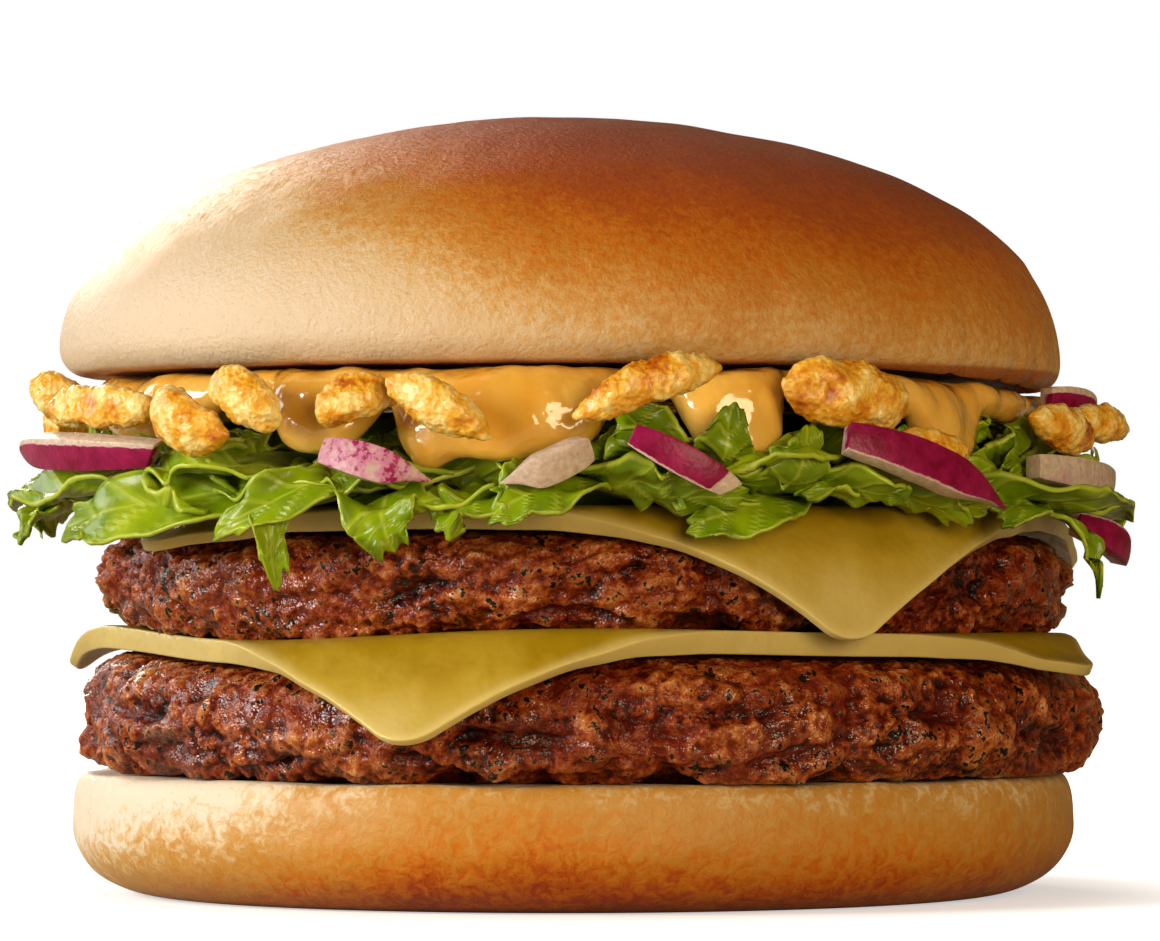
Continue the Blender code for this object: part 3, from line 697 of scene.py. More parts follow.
def make_heel():
    """The lower bun half, with a soft dimpled side."""
    below = HEEL_WIDEST
    above = HEEL_THICK - HEEL_WIDEST
    edge = BUN_RADIUS - HEEL_RIM_RADIUS
    profile = [(0, 0), (HEEL_FOOT_RADIUS, 0)]
    profile += arc((HEEL_FOOT_RADIUS, below), (BUN_RADIUS - HEEL_FOOT_RADIUS, below), -86, 0, 26)
    profile += arc((HEEL_RIM_RADIUS, HEEL_WIDEST), (edge, above), 4, 90, 16, 2.6)
    profile += even([profile[-1], (HEEL_RIM_RADIUS - 9 * MM, HEEL_THICK)], 1.2 * MM)[1:]
    profile += [(0, HEEL_THICK)]
    bm = turned(profile, 300)
    moves = []
    for vert in bm.verts:
        turn = math.radians(polar(vert.co)[0])
        swell = 0.006 * math.cos(2 * turn + 0.6) + 0.004 * math.cos(3 * turn + 2)
        move = Vector((vert.co.x * swell, vert.co.y * swell, 0))
        side = smoothstep(0.4 * MM, 3 * MM, vert.co.z)
        dent = noise.noise(vert.co / (10 * MM)) * 0.25 + noise.noise(vert.co / (3.5 * MM)) * 0.10
        moves.append(move + vert.normal * dent * side * MM)
    push(bm, moves)
    for vert in bm.verts:
        vert.co.z = max(0.0, vert.co.z)
    return finish(bm, "heel", heel_finish(), ["bun_heel"])


# Beef

MINCE_SEED = 3  # noise_vector draws its offsets from it, so that each run gives the same mince


def mince(point):
    """Relief of minced beef in millimetres: twisted strands with crumbs on them and clefts between."""
    swirl = noise.noise_vector(point / (4 * MM)) * 1.8 * MM
    near = noise.voronoi((point + swirl) / (2.7 * MM))[0]
    strand = 0.5 - near[0]
    cleft = smoothstep(0.0, 0.35, near[1] - near[0]) - 1
    crumb = 0.5 - noise.voronoi((point - swirl) / (1.2 * MM))[0][0]
    ridge = 0.4 - abs(noise.noise((point + swirl * 0.5) / (1.8 * MM)))
    fine = noise.noise(point / (0.7 * MM))
    return 0.30 * strand + 0.28 * cleft + 0.30 * crumb + 0.7 * ridge + 0.25 * fine


def patty_profile(inner, low, widest, high):
    """A patty's outline in the (radius, height) plane, with points close together round its side."""
    profile = [(0, low), (inner - 10 * MM, low), (inner - 5 * MM, low)]
    profile += even([profile[-1], (inner, low)], 0.7 * MM)[1:-1]
    curve = arc((inner, widest), (PATTY_EDGE, widest - low), -90, 0, 30, 2.3)[:-1]
    curve += arc((inner, widest), (PATTY_EDGE, high - widest), 0, 90, 30, 1.9)
    profile += even(curve, 0.42 * MM)
    profile += even([(inner, high), (inner - 5 * MM, high)], 0.7 * MM)[1:]
    return profile + [(inner - 10 * MM, high), (0, high)]


def seared_flat(height, low, high, radius, inner):
    """A patty's height at a point, held to its seared faces where other layers rest on them."""
    rest = 0.32 * MM * (1 - smoothstep(inner - 5 * MM, inner - 1 * MM, radius))
    height = min(high + 0.15 * MM, max(low - 0.15 * MM, height))
    if height > high - 0.5 * MM:
        height = max(height, high + rest - 0.4 * MM * (rest == 0))
    if height < low + 0.5 * MM:
        height = min(height, low - rest + 0.4 * MM * (rest == 0))
    return height


def make_beef(patty, skin):
    """One patty, with crags of several sizes round its side and seared faces."""
    low, high = patty.low, patty.low + patty.thick
    widest = low + patty.thick * patty.widest_share
    inner = patty.radius - PATTY_EDGE
    bm = turned(patty_profile(inner, low, widest, high), 760)
    painted_shade = bm.verts.layers.float.new("crag_painted_shade")
    offset = Vector((patty.seed * 3.1, patty.seed * 1.7, patty.seed * 2.3))
    moves = []
    for vert in bm.verts:
        angle, distance = polar(vert.co)
        side = smoothstep(inner - 3 * MM, inner + 1.5 * MM, distance)
        coarse = noise.noise(vert.co / (8 * MM) + offset)
        middle = noise.noise(vert.co / (3.6 * MM) - offset)
        turn = math.radians(angle)
        lobe = 0.9 * math.cos(2 * turn + patty.seed) + 0.6 * math.cos(5 * turn + 2 * patty.seed)
        pressed = smoothstep(widest, high, vert.co.z)
        most = 1.3 - 1.5 * pressed
        height = min(most, side * (1.2 * coarse + 1.0 * middle))
        outward = Vector((vert.co.x, vert.co.y, 0)).normalized()
        outgoing = min(most, height + 0.6 * side * lobe)
        lumps = mince(vert.co + offset * 10 * MM)
        layered = Vector((vert.co.x / (9 * MM), vert.co.y / (9 * MM), vert.co.z / (2.4 * MM)))
        gully = smoothstep(0.12, 0.42, noise.noise(layered + offset)) * (1 - pressed)
        # Painted shade and light for the colour: lower in clefts and gullies, higher on raised lumps.
        vert[painted_shade] = 0.52 + 0.8 * lumps + 0.15 * coarse + 0.2 * middle - 0.28 * gully
        move = vert.normal * (height + side * (lumps * (1 - 0.45 * pressed) - 1.1 * gully))
        moves.append((move + outward * (outgoing - height)) * MM)
    push(bm, moves)
    for vert in bm.verts:
        vert.co.z = seared_flat(vert.co.z, low, high, polar(vert.co)[1], inner)
        vert.co.x += patty.shift
        vert.co.z += layer_wave(vert.co)
    name = "beef_" + patty.node.split("_")[1]
    return finish(bm, name, skin, [patty.node])


# Cheese


def cheese_point(lie, across, along, lift):
    """Where a point of the flat slice ends up. Past the patty's edge the slice bends down."""
    angle, distance = polar(Vector((across, along, 0)) + lie.slid)
    hang = 0.0
    for corner, bend in enumerate(lie.hang):
        tip = place(lie.heading + 90 * corner, CHEESE_SIDE / math.sqrt(2), 0) + lie.slid
        hang += bend * hump(turn_between(angle, polar(tip)[0]), 46)
    start = lie.edge + CHEESE_CLEAR - CHEESE_BEND
    past = CHEESE_MELT * max(0.0, distance - start)
    bent = min(past / CHEESE_BEND, math.radians(hang))
    straight = max(0.0, past - CHEESE_BEND * bent)
    radius = min(distance, start) + CHEESE_BEND * math.sin(bent) + straight * math.cos(bent)
    drop = CHEESE_BEND * (1 - math.cos(bent)) + straight * math.sin(bent)
    lift *= 1 - 0.35 * smoothstep(0, 5 * MM, past)
    squeezed = smoothstep(lie.edge - 9 * MM, lie.edge - 4 * MM, distance)
    squeezed *= 1 - smoothstep(lie.edge - 1 * MM, lie.edge + 3 * MM, distance)
    lift *= 1 + 0.28 * squeezed
    radius += lift * math.sin(bent)
    point = place(angle, radius, lift * math.cos(bent) - drop) + lie.patty
    point.z += layer_wave(Vector((point.x, point.y, lie.patty.z)))
    waviness = noise.noise(point / (11 * MM)) * 0.5 + noise.noise(point / (5 * MM)) * 0.2
    point += place(angle, waviness * math.sin(bent) * 0.6 * MM, 0)
    ripple = noise.noise(Vector((math.radians(angle) * 9, lie.heading, 5))) * 0.5 * MM
    point.z += ripple * smoothstep(0, 4 * MM, past) * (1 - smoothstep(4 * MM, 9 * MM, past))
    return point


def spread_out(share):
    """Grid lines that stand closer towards the slice's edges."""
    return CHEESE_SIDE / 2 * (1.35 * share - 0.35 * share**3)


def rounded_off(x, y, half, rounding):
    """The point of a square moved in, where it lies in a corner, so that the corner is round."""
    over_x, over_y = abs(x) - (half - rounding), abs(y) - (half - rounding)
    if over_x <= 0 or over_y <= 0:
        return x, y
    keep = max(over_x, over_y) / math.hypot(over_x, over_y)
    x -= math.copysign(over_x * (1 - keep), x)
    y -= math.copysign(over_y * (1 - keep), y)
    return x, y


def make_slice(lie, skin):
    """One slice of cheese, draped, with rounded corners and soft edges."""
    bm, lower, upper, (hang_shade, rim) = sheet(("hang_shade", "rim"), 84, 84)
    turn = math.radians(lie.heading - 45)
    half = CHEESE_SIDE / 2
    for verts, lift in ((lower, 0.0), (upper, CHEESE_THICK)):
        for vert in verts:
            x, y = spread_out(vert.co.x), spread_out(vert.co.y)
            # A 1.6 mm band along the edge, which takes the painted highlight.
            vert[rim] = smoothstep(half - 1.6 * MM, half, max(abs(x), abs(y)))
            x, y = rounded_off(x, y, half, 5 * MM)
            across = x * math.cos(turn) - y * math.sin(turn)
            along = x * math.sin(turn) + y * math.cos(turn)
            vert.co = cheese_point(lie, across, along, lift)
            # How far the point hangs below the slice's level, which sets the painted shade.
            vert[hang_shade] = smoothstep(0, 11 * MM, lie.patty.z + lift - vert.co.z)
    facing_out(bm)
    piece = finish(bm, lie.node.replace("cheese", "slice"), skin, [lie.node])
    return soften_edges(piece, 0.8 * MM, 4, 50)


# Strips: leaves and onions


def stops(way, share):
    """The point at a share of a way, on one smooth curve through its three stops."""
    weights = (
        (2 * share - 1) * (share - 1),
        4 * share * (1 - share),
        share * (2 * share - 1),
    )
    angle, radius, height = (
        sum(weight * stop[axis] for weight, stop in zip(weights, way)) for axis in range(3)
    )
    return place(angle, radius * MM, height * MM)


def frames(piece, count):
    """Centre, side and up of each section along a piece, turned by its roll."""
    centres = [stops(piece.way, step / count) for step in range(count + 1)]
    found = []
    up = Vector((0, 0, 1))
    ahead = None
    for step, centre in enumerate(centres):
        tangent = centres[min(step + 1, count)] - centres[max(step - 1, 0)]
        tangent.normalize()
        if ahead is not None:
            up = ahead.rotation_difference(tangent) @ up
        up = (up - tangent * up.dot(tangent)).normalized()
        ahead = tangent
        side = tangent.cross(up)
        roll = math.radians(piece.roll[0] + (piece.roll[1] - piece.roll[0]) * step / count)
        found.append(
            (
                centre,
                side * math.cos(roll) + up * math.sin(roll),
                up * math.cos(roll) - side * math.sin(roll),
                tangent,
            )
        )
    return found


def petal_taper(share, points):
    """Nearly even width, drawn in at both cut ends."""
    width = 0.5 + 0.5 * math.sin(math.pi * (0.06 + 0.88 * share)) ** 0.5
    width -= 0.6 * points[0] * (1 - smoothstep(0, 0.4, share))
    return width - 0.6 * points[1] * smoothstep(0.6, 1, share)


def purple_share(petal, share, up):
    """How purple the outer face is at a share of the petal's length. Up is 1 at its top edge."""
    shown = 1.0
    if petal.margin:
        side = up if petal.margin > 0 else -up
        bare = abs(petal.margin)
        shown -= smoothstep(1 - 2.2 * bare, 1 - 1.8 * bare, side)
    shown *= 1 - smoothstep(1 - petal.bare_end, 1.06 - petal.bare_end, share)
    return shown * (1 - petal.paleness)


def make_petal(petal):
    """A cut crescent of onion: flat faces, with the purple skin on the outer one."""
    piece = petal.piece
    rings = 44
    bm, one_side, other_side, (skin,) = sheet(("skin",), rings, 8)
    sections = frames(piece, rings)
    middle = sections[rings // 2]
    outward = Vector((middle[0].x, middle[0].y, 0))
    faces_out = middle[2].dot(outward) > 0
    for verts, lift in ((one_side, -0.5), (other_side, 0.5)):
        for vert in verts:
            share = (vert.co.x + 1) / 2
            edge = vert.co.y
            centre, wide, face, _ = sections[round(share * rings)]
            outer = (lift > 0) == faces_out
            if outer:
                vert[skin] = purple_share(petal, share, edge if wide.z > 0 else -edge)
            narrow = petal_taper(share, petal.points)
            slant = 0.22 * edge * smoothstep(0.6, 1.0, share)
            bulge = 0.25 * (1 - edge * edge) * (1 if outer else -0.6) * (1 if faces_out else -1)
            wobble = 1 + 0.06 * noise.noise(centre / (4 * MM))
            ahead = sections[min(rings, round((share + 0.02) * rings))][3]
            vert.co = (
                centre
                + wide * edge * narrow * wobble * piece.width * MM / 2
                + face * (lift * narrow**0.5 * petal.thick * 0.9 + bulge * 0.6) * MM
                + ahead * slant * piece.width * MM
            )
    facing_out(bm)
    return bm


FRONT_PETALS = (
    Petal(
        Piece(((-76, 57.5, 46.0), (-61, 58.5, 45.4), (-47, 56.0, 45.0)), 3.3, (72, 72)),
        2.4,
        margin=0.14,
        points=(1.0, 0.0),
    ),
    Petal(
        Piece(((-24.5, 56.5, 44.8), (-19.5, 57.5, 43.8), (-14.5, 56.0, 42.0)), 3.4, (110, 100)),
        2.4,
        paleness=0.6,
        points=(0.0, 0.9),
    ),
    Petal(
        Piece(((1.5, 56.0, 45.2), (-2, 57.5, 43.4), (-6, 57.5, 41.8)), 3.2, (100, 80)),
        2.4,
        paleness=0.85,
        points=(0.0, 0.9),
    ),
    Petal(
        Piece(((6, 57.5, 46.4), (11, 58.5, 43.8), (15, 58.0, 41.4)), 3.0, (96, 96)),
        2.4,
        margin=-0.08,
        bare_end=0.2,
    ),
    Petal(
        Piece(((27, 58.5, 46.2), (36, 59.5, 43.6), (46, 58.5, 39.6)), 3.8, (104, 104)),
        2.6,
        margin=-0.08,
        points=(0.0, 1.0),
    ),
    Petal(
        Piece(((57, 55.0, 43.8), (67, 56.5, 43.0), (78, 56.0, 42.2)), 3.2, (96, 84)),
        2.4,
        paleness=0.85,
    ),
    Petal(Piece(((72, 51.0, 51.2), (77, 53.0, 51.0), (81, 54.0, 50.4)), 2.4, (90, 90)), 2.0, 0.3),
    Petal(Piece(((68, 55.0, 38.2), (73, 57.5, 36.6), (78, 57.5, 34.8)), 3.0, (96, 96)), 2.2, 0.12),
)
PETALS_BEHIND = 5
BACK_SIDE = (97, 268)  # the directions that the petals behind fill, in degrees
CRISPS = 17
CRISP_GRID = 0.32 * MM


def petals_behind(count, low, high, seed):
    """Petals on the sides and back, spaced evenly and each a little different."""
    draw = random.Random(seed)
    found = []
    first, last = BACK_SIDE
    for number in range(count):
        middle = first + (last - first) * (number + 0.5) / count + draw.uniform(-3, 3)
        half = draw.uniform(6.5, 9) * draw.choice((-1, 1))
        radius = draw.uniform(54.5, 56)
        height = draw.uniform(low, high)
        way = (
            (middle - half, radius - 1.5, height - draw.uniform(0, 0.8)),
            (middle, radius + 1, height),
            (middle + half, radius - 0.5, height - draw.uniform(0.5, 1.4)),
        )
        tilt = 90 + draw.uniform(-10, 10)
        margin = 0.12 if number % 2 else -0.12
        found.append(Petal(Piece(way, 3.2, (tilt, tilt)), 2.4, margin))
    return found


def make_petals():
    """All red onion pieces."""
    petals = [*FRONT_PETALS, *petals_behind(PETALS_BEHIND, 43.6, 44.4, 60)]
    nodes = [f"red_onion_{number:02d}" for number in range(1, len(petals) + 1)]
    whole = joined([make_petal(petal) for petal in petals])
    piece = finish(whole, "onion_petals", onion_finish(), nodes)
    return soften_edges(piece, 0.25 * MM, 2, 45)


def make_crisps():
    """All fried onion pieces: the solids, remeshed fine and roughened into crisp batter."""
    nodes = [f"fried_onion_{number:02d}" for number in range(1, CRISPS + 1)]
    whole = joined([merged_copy(name) for name in nodes])
    piece = finish(whole, "onion_crisps", batter_finish(), nodes)
    remesh = piece.modifiers.new("batter", "REMESH")
    remesh.mode = "VOXEL"
    remesh.voxel_size = CRISP_GRID
    apply_modifiers(piece)
    bm = bmesh.new()
    bm.from_mesh(piece.data)
    smoothed(bm, 6)
    bm.normal_update()
    painted_shade = bm.verts.layers.float.new("crag_painted_shade")
    moves = []
    for vert in bm.verts:
        fold = 0.5 - 1.6 * abs(noise.noise(vert.co / (4.6 * MM)))
        lump = 0.45 - noise.voronoi(vert.co / (2.4 * MM))[0][0]
        crumb = 0.5 - noise.voronoi(vert.co / (0.85 * MM))[0][0]
        fine = noise.noise(vert.co / (0.5 * MM))
        height = 0.5 * fold + 0.16 * lump + 0.24 * crumb + 0.2 * fine
        # Painted light and shade for the colour: higher on ridges, lumps and crumbs, lower in the
        # hollows.
        vert[painted_shade] = 0.45 + 0.5 * fold + 0.3 * lump + 0.4 * crumb
        moves.append(vert.normal * (height + 0.15) * MM)
    push(bm, moves)
    bm.to_mesh(piece.data)
    bm.free()
    piece.data.shade_smooth()
    return piece


def merged_copy(node):
    """A node's solid as one closed bmesh."""
    bm = bmesh.new()
    bm.from_mesh(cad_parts[node].data)
    bmesh.ops.remove_doubles(bm, verts=bm.verts, dist=0.002 * MM)
    return bm


def apply_modifiers(piece):
    """Makes what the modifiers give the piece's own mesh."""
    graph = bpy.context.evaluated_depsgraph_get()
    made = bpy.data.meshes.new_from_object(piece.evaluated_get(graph))
    piece.modifiers.clear()
    piece.data = made


# Sauce

DRIPS = (
    Drip(-60, 13, 4.0, 4.0),
    Drip(-28.5, 6.5, 6.5, 5.6),
    Drip(-15.5, 4.5, 5.0, 7.0),
    Drip(-6, 10, 7.5, 6.4),
    Drip(18.5, 5.5, 6.5, 7.2),
    Drip(42, 10, 5.0, 0.8),
    Drip(48.5, 6.5, 4.0, 6.4),
    Drip(62, 8, 3.0, 0.6),
    Drip(104, 10, 3.5, 3.0),
    Drip(147, 9, 5.5, 5.0),
    Drip(186, 12, 5.5, 3.6),
    Drip(228, 8, 4.5, 5.6),
    Drip(258, 9, 2.5, 2.4),
)


def sauce_rim(angle):
    """How far the sauce reaches and how far it drops, in a direction."""
    reach, drop = 2.2 * MM + 0.8 * MM * math.sin(math.radians(9 * angle)), 0.0
    for drip in DRIPS:
        offset = abs(turn_between(angle, drip.angle)) / (1.15 * drip.spread)
        tongue = max(0.0, 1 - offset**2.2) ** 0.8
        reach += max(0.0, drip.reach * MM * tongue - reach * tongue)
        drop += max(0.0, drip.drop * MM * tongue - drop * tongue)
    return reach, drop


def chain(points, count):
    """A smooth curve that starts and ends at the outer points and leans on the inner ones."""
    found = []
    for step in range(count):
        share = step / (count - 1)
        level = list(points)
        while len(level) > 1:
            level = [
                tuple(a + (b - a) * share for a, b in zip(start, end))
                for start, end in zip(level, level[1:])
            ]
        found.append(level[0])
    return found


def sauce_section(angle):
    """The sauce's outline in the (radius, height) plane, in a direction."""
    reach, drop = sauce_rim(angle)
    under = SAUCE_TOP_Z - SAUCE_THICK
    out = SAUCE_RADIUS + reach
    low = under - drop
    body = 2.9 * MM
    shoulder = (SAUCE_RADIUS - 0.2 * MM + 0.4 * reach, SAUCE_TOP_Z)
    bulge = (out, low + 2.0 * MM)
    tip = (out - 1.5 * MM, low)
    inner = (out - body, low + 2.0 * MM)
    pocket = (SAUCE_RADIUS - 3.0 * MM + 0.3 * reach, under)
    outline = [(0, SAUCE_TOP_Z), (20 * MM, SAUCE_TOP_Z), (38 * MM, SAUCE_TOP_Z)]
    brow = (out - 0.3 * MM, SAUCE_TOP_Z - 0.2 * MM)
    outline += chain([shoulder, brow, (out, 0.5 * (low + SAUCE_TOP_Z)), bulge], 12)
    outline += chain([bulge, (out, low + 0.2 * MM), tip], 6)[1:]
    outline += chain([tip, (out - body, low + 0.1 * MM), inner], 5)[1:]
    outline += chain([inner, (out - body - 0.1 * MM, under), pocket], 6)[1:]
    outline += [(30 * MM, under), (0, under)]
    return outline


def make_sauce():
    """The pool of sauce and its tongues, glossy and lumpy."""
    count = len(sauce_section(0))
    coded = [(0.0, 1.0)] + [(1.0 + step, 1.0) for step in range(1, count - 1)] + [(0.0, -1.0)]
    bm = turned(coded, 540)
    sections = {}
    for vert in bm.verts:
        angle, row = polar(vert.co)
        angle -= math.degrees(0.5 * math.sin(math.radians(angle)))
        key = round(angle, 4)
        if key not in sections:
            sections[key] = sauce_section(angle)
        row = round(row - 1) if row > 0.5 else (0 if vert.co.z > 0 else count - 1)
        radius, height = sections[key][row]
        point = place(angle, radius, height)
        point.z -= 1.2 * crown_sag(angle) * smoothstep(45 * MM, 48 * MM, radius)
        vert.co = point
    smoothed(bm, 8)
    facing_out(bm)
    bm.normal_update()
    moves = []
    for vert in bm.verts:
        radius = polar(vert.co)[1]
        hangs = smoothstep(46 * MM, 50 * MM, radius)
        lump = noise.noise(vert.co / (4.2 * MM)) * 0.65 + noise.noise(vert.co / (2 * MM)) * 0.14
        moves.append(vert.normal * (0.25 + lump) * hangs * MM)
    push(bm, moves)
    for vert in bm.verts:
        vert.co.z = min(vert.co.z, SAUCE_TOP_Z)
    return finish(bm, "sauce_pool", sauce_finish(), ["sauce"])


# Lettuce

FRONT_LEAVES = (
    Piece(((-24, 44, 43.2), (-44, 57.5, 41.2), (-61, 58.8, 37.8)), 8.5, (35, 55), 0.4),
    Piece(((-42, 44, 42.6), (-60, 56.5, 42.0), (-78, 58.0, 40.6)), 5.5, (10, 30), 1.2),
    Piece(((-22, 44, 42.6), (-27, 56.0, 43.0), (-37, 58.5, 37.6)), 5.5, (20, 60), 0.5),
    Piece(((-36, 44, 41.0), (-31, 56.5, 40.2), (-30, 56.8, 31.0)), 4.2, (0, 25), 0.5),
    Piece(((-20, 44, 41.2), (-19, 56.0, 40.4), (-17, 56.6, 35.4)), 8.0, (0, -20), 1.0),
    Piece(((-4, 44, 41.4), (-9, 55.6, 41.4), (-13, 57.0, 37.6)), 7.0, (0, 15), 0.8),
    Piece(((9, 44, 41.5), (8, 54.6, 44.4), (5, 55.0, 49.6)), 8.5, (0, 20), 0.9),
    Piece(((16, 44, 41.5), (15.0, 55.2, 44.4), (16.0, 56.0, 50.2)), 7.0, (0, 10), 0.9),
    Piece(((0, 44, 42.2), (9, 54.6, 41.0), (19, 55.4, 40.6)), 4.4, (10, 80), 0.3),
    Piece(((22, 44, 41.5), (22.5, 55.6, 44.4), (24, 56.0, 50.4)), 7.5, (0, 8), 0.6),
    Piece(((22, 44, 41.6), (29, 55.2, 41.6), (36, 56.4, 40.0)), 5.0, (25, 45), 0.5),
    Piece(((35, 44, 42.2), (41, 54.4, 41.0), (49, 55.0, 40.4)), 4.4, (10, 75), 0.3),
    Piece(((46, 44, 41.4), (55, 56.0, 41.0), (68, 59.6, 39.8)), 7.5, (10, 20), 0.7),
    Piece(((68, 44, 41.2), (77, 54.5, 40.4), (86, 56.0, 40.0)), 6.0, (0, 10), 0.6),
    Piece(((58, 44, 40.8), (62, 56.0, 38.8), (64, 59.0, 30.6)), 4.0, (0, -20), 0.5),
)
FILL_LEAVES = (
    Piece(((-30, 44, 43.0), (-38, 54.5, 44.6), (-50, 56.0, 43.8)), 7.0, (10, 40), 0.8, 51),
    Piece(((-12, 44, 43.0), (-20, 54.0, 44.0), (-29, 55.0, 42.6)), 7.5, (0, 30), 0.8, 52),
    Piece(((4, 44, 42.6), (-2, 54.0, 43.2), (-8, 56.5, 39.6)), 8.0, (10, 40), 0.6, 53),
    Piece(((28, 44, 42.6), (20, 55.0, 42.4), (11, 57.0, 39.4)), 8.0, (10, 45), 0.6, 55),
    Piece(((30, 44, 42.0), (37, 55.2, 42.6), (45, 57.0, 39.2)), 7.5, (10, 40), 0.6, 57),
    Piece(((62, 44, 42.0), (55, 55.2, 42.4), (47, 57.0, 40.0)), 7.0, (10, 35), 0.7, 58),
    Piece(((5, 44, 43.6), (5, 50.6, 45.8), (5.5, 52.0, 49.8)), 7.0, (0, 10), 0.8, 61),
    Piece(((12, 44, 43.6), (12, 51.0, 45.6), (11, 52.4, 49.6)), 7.0, (0, -10), 0.8, 62),
    Piece(((60, 44, 43.6), (61, 50.4, 45.4), (62, 52.0, 48.8)), 8.0, (0, 10), 0.7, 64),
    Piece(((57, 42, 43.6), (57, 47.0, 45.8), (58, 48.6, 49.4)), 7.0, (0, 10), 0.5, 67),
    Piece(((66, 42, 43.6), (66, 47.0, 45.8), (66, 48.4, 49.2)), 7.0, (0, -10), 0.5, 68),
    Piece(((70, 44, 43.6), (70, 50.4, 45.2), (72, 52.0, 48.4)), 8.0, (0, -10), 0.7, 65),
    Piece(((-44, 44, 43.6), (-44, 51.0, 45.6), (-43, 52.6, 49.4)), 7.5, (0, 10), 0.7, 66),
    Piece(((-2, 44, 43.4), (5, 55.0, 45.0), (13, 57.0, 44.4)), 6.5, (10, 50), 1.2, 63),
    Piece(((-52, 44, 42.6), (-45, 55.0, 42.6), (-38, 57.0, 40.0)), 7.0, (10, 35), 0.7, 60),
)
LEAVES_BEHIND = 10
LEAVES_STANDING = 36
LEAF_THICK = 0.45 * MM
LEAF_CLEAR = 0.2 * MM
LEAF_MEASURES = ("across", "vein", "painted_inner_shade", "tint")


def leaves_behind():
    """Leaves on the sides and back, by the same rule as those at the front."""
    draw = random.Random(41)
    found = []
    first, last = 88, 276
    for number in range(LEAVES_BEHIND):
        start = first + (last - first) * (number + 0.5) / LEAVES_BEHIND
        sweep = draw.choice((-1, 1)) * draw.uniform(5, 11)
        droop = draw.uniform(0.5, 6.5)
        way = (
            (start, 44, 42.0),
            (start + sweep, 56, 42.4 - 0.2 * droop),
            (start + 1.6 * sweep, 60, 41.6 - droop),
        )
        roll = (draw.uniform(0, 15), draw.uniform(-25, 35))
        found.append(Piece(way, draw.uniform(6, 9), roll, draw.uniform(0.6, 1.1), number))
    return found


def shreds(count, seed, low, high):
    """Short strips that fill the band between the larger leaves."""
    draw = random.Random(seed)
    found = []
    for number in range(count):
        start = 360 * number / count + draw.uniform(-6, 6)
        sweep = draw.choice((-1, 1)) * draw.uniform(6, 12)
        height = draw.uniform(low, high)
        way = (
            (start, 43, height),
            (start + sweep, draw.uniform(51, 54.5), height + draw.uniform(-0.6, 1.2)),
            (start + 2 * sweep, draw.uniform(51, 54.5), height - draw.uniform(0, 2.2)),
        )
        roll = (draw.uniform(-20, 40), draw.uniform(10, 80))
        found.append(Piece(way, draw.uniform(3.5, 6.5), roll, 0.8, number + seed))
    return found


def standing_leaves(count, seed):
    """Leaves that stand up round the core, under the sauce."""
    draw = random.Random(seed)
    found = []
    for number in range(count):
        start = 360 * number / count + draw.uniform(-2.5, 2.5)
        lean = draw.uniform(-4, 4)
        way = (
            (start, 41, 43.4),
            (start + 0.5 * lean, draw.uniform(46, 48.5), draw.uniform(44.6, 46)),
            (start + lean, draw.uniform(48.5, 51), draw.uniform(47.4, 49.6)),
        )
        roll = (draw.uniform(-15, 15), draw.uniform(-35, 35))
        found.append(Piece(way, draw.uniform(7.5, 10.5), roll, 0.9, number + seed))
    return found


def section_at(sections, share):
    """Centre, wide and face directions of a strip at any share of its length."""
    spot = min(max(share, 0.0), 1.0) * (len(sections) - 1)
    first = min(int(spot), len(sections) - 2)
    rest = spot - first
    return [a.lerp(b, rest) for a, b in zip(sections[first][:3], sections[first + 1][:3])]


def torn_tip(share, edge, seed):
    """How much of a leaf's length is missing at its ragged tip."""
    torn = 0.04 + 0.10 * edge * edge + 0.12 * noise.noise(Vector((edge * 2.1, seed, 4)))
    torn += 0.02 * noise.noise(Vector((edge * 7, seed, 8)))
    return torn * smoothstep(0.7, 1.0, share)


def frill(share, edge, seed):
    """How far a leaf's edge runs out, about 1."""
    side = math.copysign(2, edge)
    wide = 1 + 0.18 * noise.noise(Vector((share * 6, side, seed)))
    return wide + 0.07 * noise.noise(Vector((share * 20, side, seed)))


def leaf_wave(share, edge, seed):
    """How far a leaf waves out of its plane, in millimetres, growing from its root on."""
    wave = noise.noise(Vector((share * 5, edge * 1.2, seed))) * 1.5
    wave += noise.noise(Vector((share * 13, edge * 2.5, seed + 5))) * 0.7 * abs(edge)
    curl = math.sin(15 * share + seed + 1.3 * edge) * edge * edge
    return smoothstep(0.05, 0.35, share) * (0.9 * wave + curl)


